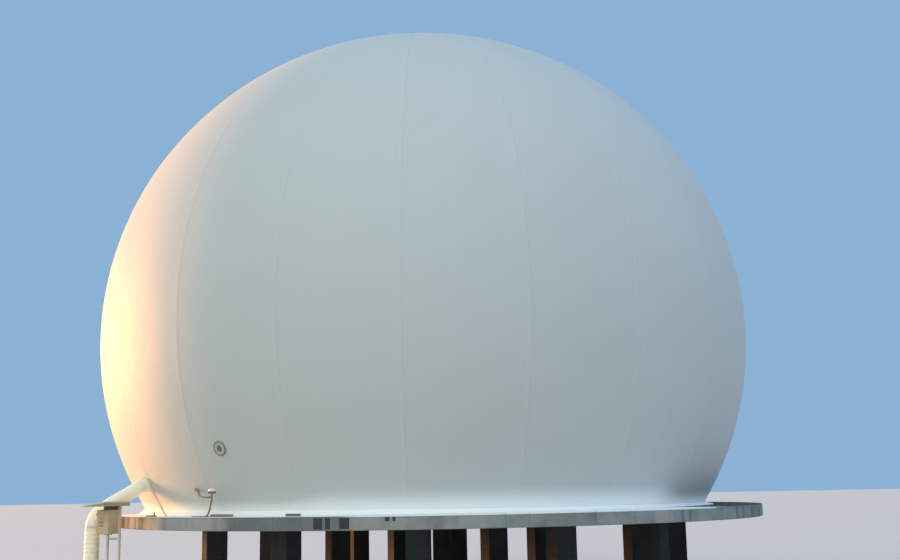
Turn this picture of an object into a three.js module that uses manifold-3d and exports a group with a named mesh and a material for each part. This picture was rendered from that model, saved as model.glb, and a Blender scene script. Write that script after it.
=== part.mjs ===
// Double membrane gas holder: an air-held ball of coated fabric on a round concrete deck with columns.
// Millimetres, +Z up. The origin is the foot of the deck's centre column, and -Y faces the viewer.
import * as THREE from "three";
import { mergeVertices } from "three/addons/utils/BufferGeometryUtils.js";
import Module from "manifold-3d";

const wasm = await Module();
wasm.setup();

// Deck and columns
const DECK_TOP = 2050;
const DECK_THICKNESS = 255;
const DECK_RADIUS = 7300;
const DECK_UNDERSIDE = DECK_TOP - DECK_THICKNESS;
const COLUMN_SIDE = 450;
const OUTER_COLUMNS = 12;
const OUTER_COLUMN_CIRCLE = 5400;
const INNER_COLUMNS = 4;
const INNER_COLUMN_CIRCLE = 2600;
const COLUMN_START = 24.5; // degrees from the front, towards +X

// Ball: its axis stands a little to the left of the deck's centre
const BALL_X = -340;
const BALL_RADIUS = 7500;
const BALL_HALF_HEIGHT = 7310;
const BALL_CENTRE_Z = DECK_TOP + 3900;
const MEMBRANE_THICKNESS = 40;
const GORES = 20;
const GORE_START = 14.6; // degrees from the front to the first seam
const CROWN_HOLE = 600;
const CROWN_CAP_RADIUS = 780;
const CROWN_CAP_THICKNESS = 14;

// Foot of the ball
const HEM_THICKNESS = 12;
const HEM_INNER = 6210;
const HEM_RADIUS = 6580;
const APRON_HEIGHT = 110;
const APRON_SHEET = 12;
const CLAMP_INNER = 6400;
const CLAMP_OUTER = 6500;
const CLAMP_HEIGHT = 16;

// Inside the ball
const FLOOR_RADIUS = 6150;
const FLOOR_THICKNESS = 10;
const GAS_RADIUS = 7150;
const GAS_HALF_HEIGHT = 5600;
const GAS_CENTRE_Z = DECK_TOP + 2900;
const GAS_THICKNESS = 30;

// Support-air duct on the left
const DUCT_RADIUS = 150;
const SLEEVE_RADIUS = 140;
const RISER_X = -7153;
const RISER_Y = -3620;
const RISER_TOP = 1850;
const BLOWER_OUTLET_TOP = 700;
const CUFF_RADIUS = 165;
const CUFF_END = 0.22; // share of the sleeve's route
const SLEEVE_STEPS = 14;
const SLEEVE_OVERRUN = 20; // cut off square at the riser's top
const FLANGE_PROUD = 14;

// Control cabinet
const CABINET_X = -6694;
const CABINET_Y = -4200;
const CABINET_TURN = -22.5; // degrees about Z
const CABINET_WIDTH = 300;
const CABINET_DEPTH = 290;
const CABINET_BOTTOM = 1730;
const CABINET_HEIGHT = 470;
const POST_SIDE = 40;
const POST_PLACES = [["left", -110], ["right", 170]]; // across, from the cabinet's middle
const RAIL_HEIGHT = 1630;
const DOOR_MARGIN = 12;
const DOOR_THICKNESS = 14;
const FOOT_PLATE = 120;
const FOOT_PLATE_THICKNESS = 12;
const ROOF_WIDTH = 500;
const ROOF_DEPTH = 820;
const ROOF_FRONT = -445; // its front edge, in the cabinet's own Y
const ROOF_UNDERSIDE = 2270;
const ROOF_LOW_EDGE = 36;
const ROOF_HIGH_EDGE = 95;

// Blower, below the riser
const SKID_WIDTH = 660;
const SKID_DEPTH = 730;
const SKID_HEIGHT = 50;
const SCROLL_OFFSET = 150;
const SCROLL_RADIUS = 280;
const SCROLL_WIDTH = 260;
const SCROLL_THROAT = 260;
const SCROLL_TOP = 640;
const SHAFT_HEIGHT = 330;
const FLANGE_HEIGHT = 20;
const MOTOR_RADIUS = 120;
const MOTOR_LENGTH = 320;
const INLET_RADIUS = 140;
const INLET_WALL = 20;
const INLET_LENGTH = 60;

// Sight window on the left front
const WINDOW_ANGLE = -33.6;
const WINDOW_Z = 3313;
const WINDOW_RADIUS = 155;
const WINDOW_RIM_RADIUS = 120;
const WINDOW_GLASS_RADIUS = 75;
const WINDOW_DEPTH = 20;
const WINDOW_RIM_HEIGHT = 30;
const WINDOW_BAND_HEIGHT = 22;
const WINDOW_GLASS_HEIGHT = 14;

// Small fittings at the deck's edge
const PIPE_RADIUS = 17;
const VENT_X = -4401;
const VENT_HEIGHT = 450;
const TEE_HALF = 70;
const HOOD_HEIGHT = 78;
const TAP_RADIUS = 13;
const STAY_RADIUS = 20;
const BAR_WIDTH = 40;
const BAR_HEIGHT = 50;
const EDGE_BARS = [
  ["edge_channel_long", [-4380, -5697], [-3900, -6065]],
  ["edge_channel_short", [-2880, -6610], [-2583, -6730]],
];

// Gap left between pieces that touch
const GAP = 0.3;

const fabric = new THREE.MeshStandardMaterial({ color: 0xe9ece6, roughness: 0.55, metalness: 0 });
const fabricPatch = new THREE.MeshStandardMaterial({ color: 0xe4e7e0, roughness: 0.5, metalness: 0 });
const innerFabric = new THREE.MeshStandardMaterial({ color: 0xd8d4c4, roughness: 0.6, metalness: 0 });
const concrete = new THREE.MeshStandardMaterial({ color: 0x8f9490, roughness: 0.9, metalness: 0 });
const columnConcrete = new THREE.MeshStandardMaterial({ color: 0x77786c, roughness: 0.92, metalness: 0 });
const galvanised = new THREE.MeshStandardMaterial({ color: 0xb9bdbd, roughness: 0.45, metalness: 0.8 });
const hoseFabric = new THREE.MeshStandardMaterial({ color: 0xf2e6c8, roughness: 0.6, metalness: 0 });
const paleSteel = new THREE.MeshStandardMaterial({ color: 0xc9b694, roughness: 0.5, metalness: 0.3 });
const darkSteel = new THREE.MeshStandardMaterial({ color: 0x4a4038, roughness: 0.55, metalness: 0.5 });
const blowerPaint = new THREE.MeshStandardMaterial({ color: 0x6d8791, roughness: 0.45, metalness: 0.3 });
const windowFrame = new THREE.MeshStandardMaterial({ color: 0x8b8f92, roughness: 0.4, metalness: 0.5 });
const windowGlass = new THREE.MeshStandardMaterial({ color: 0x1d2224, roughness: 0.1, metalness: 0 });

const degrees = (angle) => (angle * Math.PI) / 180;

// The direction at an angle from the front (-Y) towards +X.
function heading(angle) {
  return new THREE.Vector2(Math.sin(degrees(angle)), -Math.cos(degrees(angle)));
}

function named(name, geometry, material) {
  const mesh = new THREE.Mesh(geometry, material);
  mesh.name = name;
  return mesh;
}

function solidOf(geometry, matrix) {
  const source = geometry.index ? geometry.toNonIndexed() : geometry.clone();
  source.deleteAttribute("normal");
  source.deleteAttribute("uv");
  if (matrix) source.applyMatrix4(matrix);
  const merged = mergeVertices(source, 1e-3);
  return new wasm.Manifold(
    new wasm.Mesh({
      numProp: 3,
      vertProperties: merged.attributes.position.array,
      triVerts: new Uint32Array(merged.index.array),
    }),
  );
}

function geometryOf(solid) {
  const { vertProperties, triVerts } = solid.getMesh();
  return new THREE.BufferGeometry()
    .setAttribute("position", new THREE.BufferAttribute(vertProperties, 3))
    .setIndex(new THREE.BufferAttribute(triVerts, 1));
}

// A body of revolution about Z from points of (radius, height), first to last anticlockwise.
function turned(profile, sides, startAngle = 0) {
  const points = profile.map(([radius, height]) => new THREE.Vector2(radius, height));
  return new THREE.LatheGeometry(points, sides, degrees(startAngle)).rotateX(Math.PI / 2);
}

function drum(radius, height, bottom, sides = 24) {
  return new THREE.CylinderGeometry(radius, radius, height, sides)
    .rotateX(Math.PI / 2)
    .translate(0, 0, bottom + height / 2);
}

function block(width, depth, height, bottom) {
  return new THREE.BoxGeometry(width, depth, height).translate(0, 0, bottom + height / 2);
}

function circleShape(radius, sides) {
  const corners = Array.from({ length: sides }, (_, i) => {
    const angle = (2 * Math.PI * i) / sides;
    return new THREE.Vector2(radius * Math.cos(angle), radius * Math.sin(angle));
  });
  return new THREE.Shape(corners);
}

function tubeAlong(curve, radius, steps, sides = 16) {
  return new THREE.ExtrudeGeometry(circleShape(radius, sides), { steps, extrudePath: curve });
}

// Points of (radius, height) along an ellipse, from a height below its middle up to a radius above it.
function ellipseArc(radius, halfHeight, centreZ, fromZ, toRadius, steps) {
  const first = Math.asin((fromZ - centreZ) / halfHeight);
  const last = Math.acos(toRadius / radius);
  return Array.from({ length: steps + 1 }, (_, i) => {
    const angle = first + ((last - first) * i) / steps;
    return [radius * Math.cos(angle), centreZ + halfHeight * Math.sin(angle)];
  });
}

// The point on the outer membrane at an angle from the front and a height, with the way out from there.
function onMembrane(angle, z) {
  const rise = (z - BALL_CENTRE_Z) / BALL_HALF_HEIGHT;
  const radius = BALL_RADIUS * Math.sqrt(1 - rise * rise);
  const way = heading(angle);
  const point = new THREE.Vector3(way.x * radius, way.y * radius, z);
  const normal = new THREE.Vector3(
    point.x / BALL_RADIUS ** 2,
    point.y / BALL_RADIUS ** 2,
    (z - BALL_CENTRE_Z) / BALL_HALF_HEIGHT ** 2,
  ).normalize();
  return { point: point.add(new THREE.Vector3(BALL_X, 0, 0)), normal };
}

function placedAt(point, normal) {
  const turn = new THREE.Quaternion().setFromUnitVectors(new THREE.Vector3(0, 0, 1), normal);
  return new THREE.Matrix4().compose(point, turn, new THREE.Vector3(1, 1, 1));
}

const BALL_SIDES = 3 * GORES;
const BALL_ROWS = 20;

// The ball as one filled body, a little larger than the membrane, which trims what is fixed to it.
function ballBody() {
  const outside = ellipseArc(
    BALL_RADIUS + GAP,
    BALL_HALF_HEIGHT + GAP,
    BALL_CENTRE_Z,
    DECK_TOP + HEM_THICKNESS,
    CROWN_HOLE,
    BALL_ROWS,
  );
  const foot = outside[0][1];
  const top = outside.at(-1)[1];
  const profile = [[0, foot], ...outside, [0, top]];
  return solidOf(turned(profile, BALL_SIDES, GORE_START).translate(BALL_X, 0, 0));
}

const ball = ballBody();

function trimmedByBall(geometry, matrix) {
  return geometryOf(solidOf(geometry, matrix).subtract(ball));
}

function makeDeck() {
  const group = new THREE.Group();
  group.add(named("deck_slab", drum(DECK_RADIUS, DECK_THICKNESS, DECK_UNDERSIDE, 96), concrete));
  group.add(makeColumn("column_centre", 0, 0));
  const rings = [
    ["column_outer", OUTER_COLUMNS, OUTER_COLUMN_CIRCLE],
    ["column_inner", INNER_COLUMNS, INNER_COLUMN_CIRCLE],
  ];
  for (const [stem, count, circle] of rings) {
    for (let i = 0; i < count; i += 1) {
      group.add(makeColumn(`${stem}_${i + 1}`, circle, COLUMN_START + (360 * i) / count));
    }
  }
  return group;
}

function makeColumn(name, circle, angle) {
  const column = named(name, block(COLUMN_SIDE, COLUMN_SIDE, DECK_UNDERSIDE, 0), columnConcrete);
  const way = heading(angle);
  column.position.set(circle * way.x, circle * way.y, 0);
  column.rotation.z = degrees(angle);
  return column;
}

function makeOuterMembrane() {
  const foot = DECK_TOP + HEM_THICKNESS;
  const t = MEMBRANE_THICKNESS;
  const outside = ellipseArc(BALL_RADIUS, BALL_HALF_HEIGHT, BALL_CENTRE_Z, foot, CROWN_HOLE, BALL_ROWS);
  const inside = ellipseArc(
    BALL_RADIUS - t,
    BALL_HALF_HEIGHT - t,
    BALL_CENTRE_Z,
    foot,
    CROWN_HOLE,
    BALL_ROWS / 2,
  );
  const profile = [...outside, ...inside.reverse(), outside[0]];
  return named("outer_membrane", turned(profile, BALL_SIDES, GORE_START), fabric);
}

// The cap is a lens of fabric over the hole where the gores end, lying on the membrane around it.
function makeCrownCap() {
  const rise = (radius) => BALL_CENTRE_Z + BALL_HALF_HEIGHT * Math.sqrt(1 - (radius / BALL_RADIUS) ** 2);
  const over = [CROWN_CAP_RADIUS, CROWN_CAP_RADIUS / 2, 0].map((radius) => [
    radius,
    rise(radius) + CROWN_CAP_THICKNESS,
  ]);
  const bottom = rise(CROWN_CAP_RADIUS) - CROWN_CAP_THICKNESS;
  const lens = turned([[0, bottom], [CROWN_CAP_RADIUS, bottom], ...over], BALL_SIDES, GORE_START);
  return named("crown_cap", trimmedByBall(lens.translate(BALL_X, 0, 0)), fabricPatch);
}

// The hem lies on the deck under the clamp ring, and its apron slopes back up to the ball over the ring.
function makeFoot() {
  const group = new THREE.Group();
  const apronTop = DECK_TOP + APRON_HEIGHT;
  const rise = (apronTop - BALL_CENTRE_Z) / BALL_HALF_HEIGHT;
  const apronInner = BALL_RADIUS * Math.sqrt(1 - rise ** 2) + GAP;
  const hem = [
    [HEM_INNER, DECK_TOP],
    [HEM_RADIUS, DECK_TOP],
    [HEM_RADIUS, DECK_TOP + HEM_THICKNESS],
    [apronInner + APRON_SHEET, apronTop],
    [apronInner, apronTop],
    [HEM_RADIUS - APRON_SHEET, DECK_TOP + HEM_THICKNESS],
    [HEM_INNER, DECK_TOP + HEM_THICKNESS],
    [HEM_INNER, DECK_TOP],
  ];
  group.add(named("foot_hem", turned(hem, BALL_SIDES, GORE_START), fabricPatch));
  const clampBottom = DECK_TOP + HEM_THICKNESS;
  const clamp = [
    [CLAMP_INNER, clampBottom],
    [CLAMP_OUTER, clampBottom],
    [CLAMP_OUTER, clampBottom + CLAMP_HEIGHT],
    [CLAMP_INNER, clampBottom + CLAMP_HEIGHT],
    [CLAMP_INNER, clampBottom],
  ];
  group.add(named("clamp_ring", turned(clamp, BALL_SIDES, GORE_START), galvanised));
  return group;
}

function makeGasBag() {
  const group = new THREE.Group();
  group.add(named("floor_membrane", drum(FLOOR_RADIUS, FLOOR_THICKNESS, DECK_TOP, 48), innerFabric));
  const foot = DECK_TOP + FLOOR_THICKNESS;
  const t = GAS_THICKNESS;
  const outside = ellipseArc(GAS_RADIUS, GAS_HALF_HEIGHT, GAS_CENTRE_Z, foot, 0, 12);
  const inside = ellipseArc(GAS_RADIUS - t, GAS_HALF_HEIGHT - t, GAS_CENTRE_Z, foot, 0, 8);
  const profile = [...outside, ...inside.reverse(), outside[0]];
  group.add(named("inner_membrane", turned(profile, 40), innerFabric));
  return group;
}

function makeSightWindow() {
  const group = new THREE.Group();
  const { point, normal } = onMembrane(WINDOW_ANGLE, WINDOW_Z);
  const place = placedAt(point, normal);
  const frame = [
    [WINDOW_GLASS_RADIUS, -WINDOW_DEPTH],
    [WINDOW_RADIUS, -WINDOW_DEPTH],
    [WINDOW_RADIUS, WINDOW_RIM_HEIGHT],
    [WINDOW_RIM_RADIUS, WINDOW_RIM_HEIGHT],
    [WINDOW_RIM_RADIUS, WINDOW_BAND_HEIGHT],
    [WINDOW_GLASS_RADIUS, WINDOW_BAND_HEIGHT],
    [WINDOW_GLASS_RADIUS, -WINDOW_DEPTH],
  ];
  const glass = drum(WINDOW_GLASS_RADIUS - GAP, WINDOW_DEPTH + WINDOW_GLASS_HEIGHT, -WINDOW_DEPTH, 32);
  group.add(named("sight_window_frame", trimmedByBall(turned(frame, 32), place), windowFrame));
  group.add(named("sight_window_glass", trimmedByBall(glass, place), windowGlass));
  return group;
}

// The sleeve leaves the ball, runs down outside the cabinet and bends over into the riser.
const SLEEVE_ROUTE = new THREE.CatmullRomCurve3([
  new THREE.Vector3(-5990, -3430, 2790),
  new THREE.Vector3(-6530, -3560, 2465),
  new THREE.Vector3(-6860, -3600, 2265),
  new THREE.Vector3(-7075, -3618, 2085),
  new THREE.Vector3(-7148, RISER_Y, 1930),
  new THREE.Vector3(RISER_X, RISER_Y, RISER_TOP - SLEEVE_OVERRUN),
]);

const CUFF_LINE = new THREE.LineCurve3(SLEEVE_ROUTE.getPointAt(0), SLEEVE_ROUTE.getPointAt(CUFF_END));

function makeAirDuct() {
  const group = new THREE.Group();
  const below = drum(2 * DUCT_RADIUS, DUCT_RADIUS, RISER_TOP - DUCT_RADIUS).translate(RISER_X, RISER_Y, 0);
  const sleeve = solidOf(tubeAlong(SLEEVE_ROUTE, SLEEVE_RADIUS, SLEEVE_STEPS));
  group.add(named("air_sleeve", geometryOf(sleeve.subtract(ball).subtract(solidOf(below))), hoseFabric));
  const bore = solidOf(tubeAlong(SLEEVE_ROUTE, SLEEVE_RADIUS + GAP, SLEEVE_STEPS));
  const cuff = solidOf(tubeAlong(CUFF_LINE, CUFF_RADIUS, 1)).subtract(ball).subtract(bore);
  group.add(named("air_inlet_cuff", geometryOf(cuff), fabricPatch));
  const riser = drum(DUCT_RADIUS, RISER_TOP - BLOWER_OUTLET_TOP, BLOWER_OUTLET_TOP, 20);
  group.add(named("duct_riser", riser.translate(RISER_X, RISER_Y, 0), hoseFabric));
  return group;
}

// The support-air blower stands on the ground under the riser, with its outlet straight up.
function makeBlower() {
  const group = new THREE.Group();
  group.position.set(RISER_X, RISER_Y, 0);
  const skid = block(SKID_WIDTH, SKID_DEPTH, SKID_HEIGHT, 0);
  skid.translate(SCROLL_OFFSET, MOTOR_LENGTH / 3, 0);
  group.add(named("blower_skid", skid, darkSteel));

  const half = SCROLL_THROAT / 2;
  const outline = new THREE.Shape();
  outline.moveTo(-half, SCROLL_TOP);
  outline.absarc(SCROLL_OFFSET, SHAFT_HEIGHT, SCROLL_RADIUS, Math.PI, 1.25 * Math.PI, false);
  outline.lineTo(SCROLL_OFFSET - SCROLL_RADIUS * Math.SQRT1_2, SKID_HEIGHT);
  outline.lineTo(SCROLL_OFFSET + SCROLL_RADIUS * Math.SQRT1_2, SKID_HEIGHT);
  outline.absarc(SCROLL_OFFSET, SHAFT_HEIGHT, SCROLL_RADIUS, 1.75 * Math.PI, 2.5 * Math.PI, false);
  outline.lineTo(half, SHAFT_HEIGHT + SCROLL_RADIUS);
  outline.lineTo(half, SCROLL_TOP);
  group.add(named("blower_scroll", slabOf(outline, SCROLL_WIDTH, SCROLL_WIDTH / 2), blowerPaint));

  const flange = [
    [0, SCROLL_TOP],
    [DUCT_RADIUS + FLANGE_PROUD, SCROLL_TOP],
    [DUCT_RADIUS + FLANGE_PROUD, SCROLL_TOP + FLANGE_HEIGHT],
    [SLEEVE_RADIUS, SCROLL_TOP + FLANGE_HEIGHT],
    [SLEEVE_RADIUS, BLOWER_OUTLET_TOP],
    [0, BLOWER_OUTLET_TOP],
  ];
  group.add(named("blower_outlet", turned(flange, 20), blowerPaint));

  const motor = footedDrum(MOTOR_RADIUS, SHAFT_HEIGHT, SKID_HEIGHT);
  const motorBack = SCROLL_WIDTH / 2 + MOTOR_LENGTH;
  group.add(named("blower_motor", slabOf(motor, MOTOR_LENGTH, motorBack), blowerPaint));

  const bell = [
    [INLET_RADIUS - INLET_WALL, 0],
    [INLET_RADIUS, 0],
    [INLET_RADIUS + INLET_WALL, INLET_LENGTH],
    [INLET_RADIUS, INLET_LENGTH],
    [INLET_RADIUS - INLET_WALL, 0],
  ];
  const inlet = named("blower_inlet", turned(bell, 24), galvanised);
  inlet.position.set(SCROLL_OFFSET, -SCROLL_WIDTH / 2 - GAP, SHAFT_HEIGHT);
  inlet.rotation.x = Math.PI / 2;
  group.add(inlet);
  return group;
}

// An outline in X and Z made into a slab along Y, whose back face is at the given Y.
function slabOf(shape, depth, back) {
  return new THREE.ExtrudeGeometry(shape, { depth, bevelEnabled: false, curveSegments: 10 })
    .rotateX(Math.PI / 2)
    .translate(0, back, 0);
}

// The outline of a motor: a round body that runs down into a square foot.
function footedDrum(radius, centreZ, bottom) {
  const outline = new THREE.Shape();
  const footHalf = radius * Math.SQRT1_2;
  outline.absarc(SCROLL_OFFSET, centreZ, radius, -0.25 * Math.PI, 1.25 * Math.PI, false);
  outline.lineTo(SCROLL_OFFSET - footHalf, bottom);
  outline.lineTo(SCROLL_OFFSET + footHalf, bottom);
  return outline;
}

function makeCabinet() {
  const group = new THREE.Group();
  group.position.set(CABINET_X, CABINET_Y, 0);
  group.rotation.z = degrees(CABINET_TURN);
  const body = block(CABINET_WIDTH, CABINET_DEPTH, CABINET_HEIGHT, CABINET_BOTTOM);
  group.add(named("control_cabinet", body, paleSteel));
  const door = block(
    CABINET_WIDTH - 2 * DOOR_MARGIN,
    DOOR_THICKNESS,
    CABINET_HEIGHT - 2 * DOOR_MARGIN,
    CABINET_BOTTOM + DOOR_MARGIN,
  );
  door.translate(0, -(CABINET_DEPTH + DOOR_THICKNESS) / 2 - GAP, 0);
  group.add(named("cabinet_door", door, paleSteel));

  const postY = (CABINET_DEPTH + POST_SIDE) / 2 + GAP;
  for (const [side, postX] of POST_PLACES) {
    const post = block(POST_SIDE, POST_SIDE, ROOF_UNDERSIDE, 0).translate(postX, postY, 0);
    const foot = block(FOOT_PLATE, FOOT_PLATE, FOOT_PLATE_THICKNESS, 0).translate(postX, postY, 0);
    const joined = geometryOf(solidOf(post).add(solidOf(foot)));
    group.add(named(`cabinet_post_${side}`, joined, paleSteel));
  }
  const [leftPost, rightPost] = POST_PLACES.map(([, postX]) => postX);
  const railLength = rightPost - leftPost - POST_SIDE - 2 * GAP;
  const rail = block(railLength, POST_SIDE, POST_SIDE, RAIL_HEIGHT - POST_SIDE / 2);
  group.add(named("cabinet_rail", rail.translate((leftPost + rightPost) / 2, postY, 0), paleSteel));

  // The roof slopes down to the left, away from the ball.
  const half = ROOF_WIDTH / 2;
  const pitch = new THREE.Shape();
  pitch.moveTo(-half, ROOF_UNDERSIDE);
  pitch.lineTo(half, ROOF_UNDERSIDE);
  pitch.lineTo(half, ROOF_UNDERSIDE + ROOF_HIGH_EDGE);
  pitch.lineTo(-half, ROOF_UNDERSIDE + ROOF_LOW_EDGE);
  group.add(named("rain_roof", slabOf(pitch, ROOF_DEPTH, ROOF_FRONT + ROOF_DEPTH), darkSteel));
  return group;
}

// Small pipes and bars on the deck's edge, at the left front.
function makeEdgeFittings() {
  const group = new THREE.Group();
  const stem = new THREE.CatmullRomCurve3([
    new THREE.Vector3(-4499, -5500, DECK_TOP - PIPE_RADIUS),
    new THREE.Vector3(-4455, -5500, DECK_TOP + 90),
    new THREE.Vector3(-4412, -5500, DECK_TOP + 300),
    new THREE.Vector3(VENT_X, -5500, DECK_TOP + VENT_HEIGHT),
  ]);
  const tee = new THREE.LineCurve3(
    new THREE.Vector3(VENT_X - TEE_HALF, -5500, DECK_TOP + VENT_HEIGHT),
    new THREE.Vector3(VENT_X + TEE_HALF, -5500, DECK_TOP + VENT_HEIGHT),
  );
  const hood = drum(TEE_HALF, HOOD_HEIGHT, DECK_TOP + VENT_HEIGHT, 16).translate(VENT_X, -5500, 0);
  const deckSolid = solidOf(drum(DECK_RADIUS, DECK_THICKNESS, DECK_UNDERSIDE, 96));
  const stemSolid = solidOf(tubeAlong(stem, PIPE_RADIUS, 8, 10));
  const teeSolid = solidOf(tubeAlong(tee, PIPE_RADIUS, 1, 10));
  const vent = stemSolid.add(teeSolid).add(solidOf(hood)).subtract(deckSolid);
  group.add(named("vent_pipe", geometryOf(vent), darkSteel));

  const tap = new THREE.CatmullRomCurve3([
    new THREE.Vector3(-4840, -4800, DECK_TOP + 535),
    new THREE.Vector3(-4770, -5020, DECK_TOP + 480),
    new THREE.Vector3(-4690, -5240, DECK_TOP + 405),
    new THREE.Vector3(-4605, -5400, DECK_TOP + 370),
    new THREE.Vector3(-4395, -5505, DECK_TOP + 362),
  ]);
  const clearance = solidOf(tubeAlong(stem, PIPE_RADIUS + GAP, 8, 10));
  const tapCut = solidOf(tubeAlong(tap, TAP_RADIUS, 14, 8)).subtract(ball).subtract(clearance);
  const pieces = tapCut.decompose().sort((a, b) => b.volume() - a.volume());
  group.add(named("membrane_tap", geometryOf(pieces[0]), darkSteel));

  const stay = new THREE.LineCurve3(
    new THREE.Vector3(-6078, -3593, DECK_TOP + 704),
    new THREE.Vector3(-5565, -4082, DECK_TOP - 20),
  );
  const cuffSolid = solidOf(tubeAlong(CUFF_LINE, CUFF_RADIUS + GAP, 1));
  const stayWhole = solidOf(tubeAlong(stay, STAY_RADIUS, 1, 8));
  const stayCut = stayWhole.subtract(ball).subtract(deckSolid).subtract(cuffSolid);
  group.add(named("inlet_stay", geometryOf(stayCut), darkSteel));

  for (const [name, from, to] of EDGE_BARS) {
    const run = new THREE.Vector2(to[0] - from[0], to[1] - from[1]);
    const bar = named(name, block(run.length(), BAR_WIDTH, BAR_HEIGHT, DECK_TOP), galvanised);
    bar.position.set((from[0] + to[0]) / 2, (from[1] + to[1]) / 2, 0);
    bar.rotation.z = run.angle();
    group.add(bar);
  }
  return group;
}

const aroundBallAxis = new THREE.Group();
aroundBallAxis.position.x = BALL_X;
aroundBallAxis.add(makeFoot(), makeGasBag(), makeOuterMembrane());

const holder = new THREE.Group();
holder.add(makeDeck(), aroundBallAxis, makeCrownCap(), makeSightWindow());
holder.add(makeAirDuct(), makeBlower(), makeCabinet(), makeEdgeFittings());

export default holder;
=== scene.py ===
"""Looks of an air-held double membrane gas holder on a columned concrete deck.

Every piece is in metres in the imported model's own frame: +Z up, -Y towards the viewer, and the origin at
the foot of the deck's centre column. A heading is an angle in degrees from -Y towards +X.
"""
import logging
import math
import random
from collections.abc import Callable, Iterable, Sequence
from dataclasses import dataclass
from enum import Enum

import bmesh
import bpy
from mathutils import Matrix, Vector, noise


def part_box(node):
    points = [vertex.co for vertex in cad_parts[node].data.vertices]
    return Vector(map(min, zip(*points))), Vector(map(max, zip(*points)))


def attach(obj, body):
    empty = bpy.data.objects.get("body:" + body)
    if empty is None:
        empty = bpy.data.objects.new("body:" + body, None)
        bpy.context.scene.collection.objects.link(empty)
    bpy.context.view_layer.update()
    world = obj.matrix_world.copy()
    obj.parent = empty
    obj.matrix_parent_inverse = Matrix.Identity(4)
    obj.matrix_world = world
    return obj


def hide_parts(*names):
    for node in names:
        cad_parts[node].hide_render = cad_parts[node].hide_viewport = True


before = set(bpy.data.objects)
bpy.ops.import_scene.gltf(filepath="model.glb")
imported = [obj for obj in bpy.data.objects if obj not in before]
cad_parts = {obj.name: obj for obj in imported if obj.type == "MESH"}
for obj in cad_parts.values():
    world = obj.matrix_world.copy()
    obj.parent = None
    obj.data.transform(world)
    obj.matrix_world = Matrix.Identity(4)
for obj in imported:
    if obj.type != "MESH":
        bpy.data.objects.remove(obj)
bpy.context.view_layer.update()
LOG = logging.getLogger("gas_holder")
BODY = "root"
Colour = tuple[float, float, float]
Point = tuple[float, float, float]
Patch = tuple[float, float, float]
Ring = list[Point]
Profile = list[tuple[float, float]]


class Slot(Enum):
    """The record's material slots."""

    FABRIC = "coated_fabric"
    PATCH = "fabric_patch"
    INNER = "inner_fabric"
    HOSE = "hose_fabric"
    DECK = "deck_concrete"
    COLUMN = "column_concrete"
    ZINC = "galvanised"
    PALE = "pale_steel"
    DARK = "dark_steel"
    BLOWER = "blower_paint"
    FRAME = "window_frame"
    GLASS = "window_glass"


class Wire:
    """An output socket in a material's nodes. Arithmetic on it adds Math nodes."""

    def __init__(self, graph: "Graph", socket: bpy.types.NodeSocket | None) -> None:
        """Keeps the graph and the socket, which a node without outputs lacks."""
        self.graph = graph
        self.socket = socket

    def math(self, operation: str, *others: "Wire | float") -> "Wire":
        """Adds a Math node that starts with this wire.

        Args:
            operation: the node's operation.
            others: the values or wires that follow this one.

        Returns:
            The node's output.
        """
        return self.graph.node("ShaderNodeMath", {"operation": operation}, dict(enumerate((self, *others))))

    def __add__(self, other: "Wire | float") -> "Wire":
        """The sum."""
        return self.math("ADD", other)

    def __sub__(self, other: "Wire | float") -> "Wire":
        """The difference."""
        return self.math("SUBTRACT", other)

    def __mul__(self, other: "Wire | float") -> "Wire":
        """The product."""
        return self.math("MULTIPLY", other)

    def __truediv__(self, other: "Wire | float") -> "Wire":
        """The quotient."""
        return self.math("DIVIDE", other)

    def __rsub__(self, other: float) -> "Wire":
        """A number less this wire."""
        return self.graph.node("ShaderNodeMath", {"operation": "SUBTRACT"}, {0: other, 1: self})

    def step(self, low: float, high: float) -> "Wire":
        """Rises smoothly from 0 at low to 1 at high, or falls where high is below low.

        Args:
            low: the value that gives 0.
            high: the value that gives 1.

        Returns:
            The step's output.
        """
        if high < low:
            return 1.0 - self.step(high, low)
        settings = {"interpolation_type": "SMOOTHSTEP", "clamp": True}
        feeds = {"Value": self, "From Min": low, "From Max": high}
        return self.graph.node("ShaderNodeMapRange", settings, feeds)

    def line(self, half_width: float, edge: float) -> "Wire":
        """One near 0 and nought beyond a width.

        Args:
            half_width: how far from 0 the line reaches.
            edge: the width of its soft edge.

        Returns:
            The line's mask.
        """
        return self.math("ABSOLUTE").step(half_width + edge, half_width)

    def repeat(self, pitch: float) -> "Wire":
        """The distance from the nearest multiple of a pitch, with its sign.

        Args:
            pitch: the distance between two multiples.

        Returns:
            The signed distance.
        """
        return ((self / pitch + 0.5).math("FRACT") - 0.5) * pitch


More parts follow.
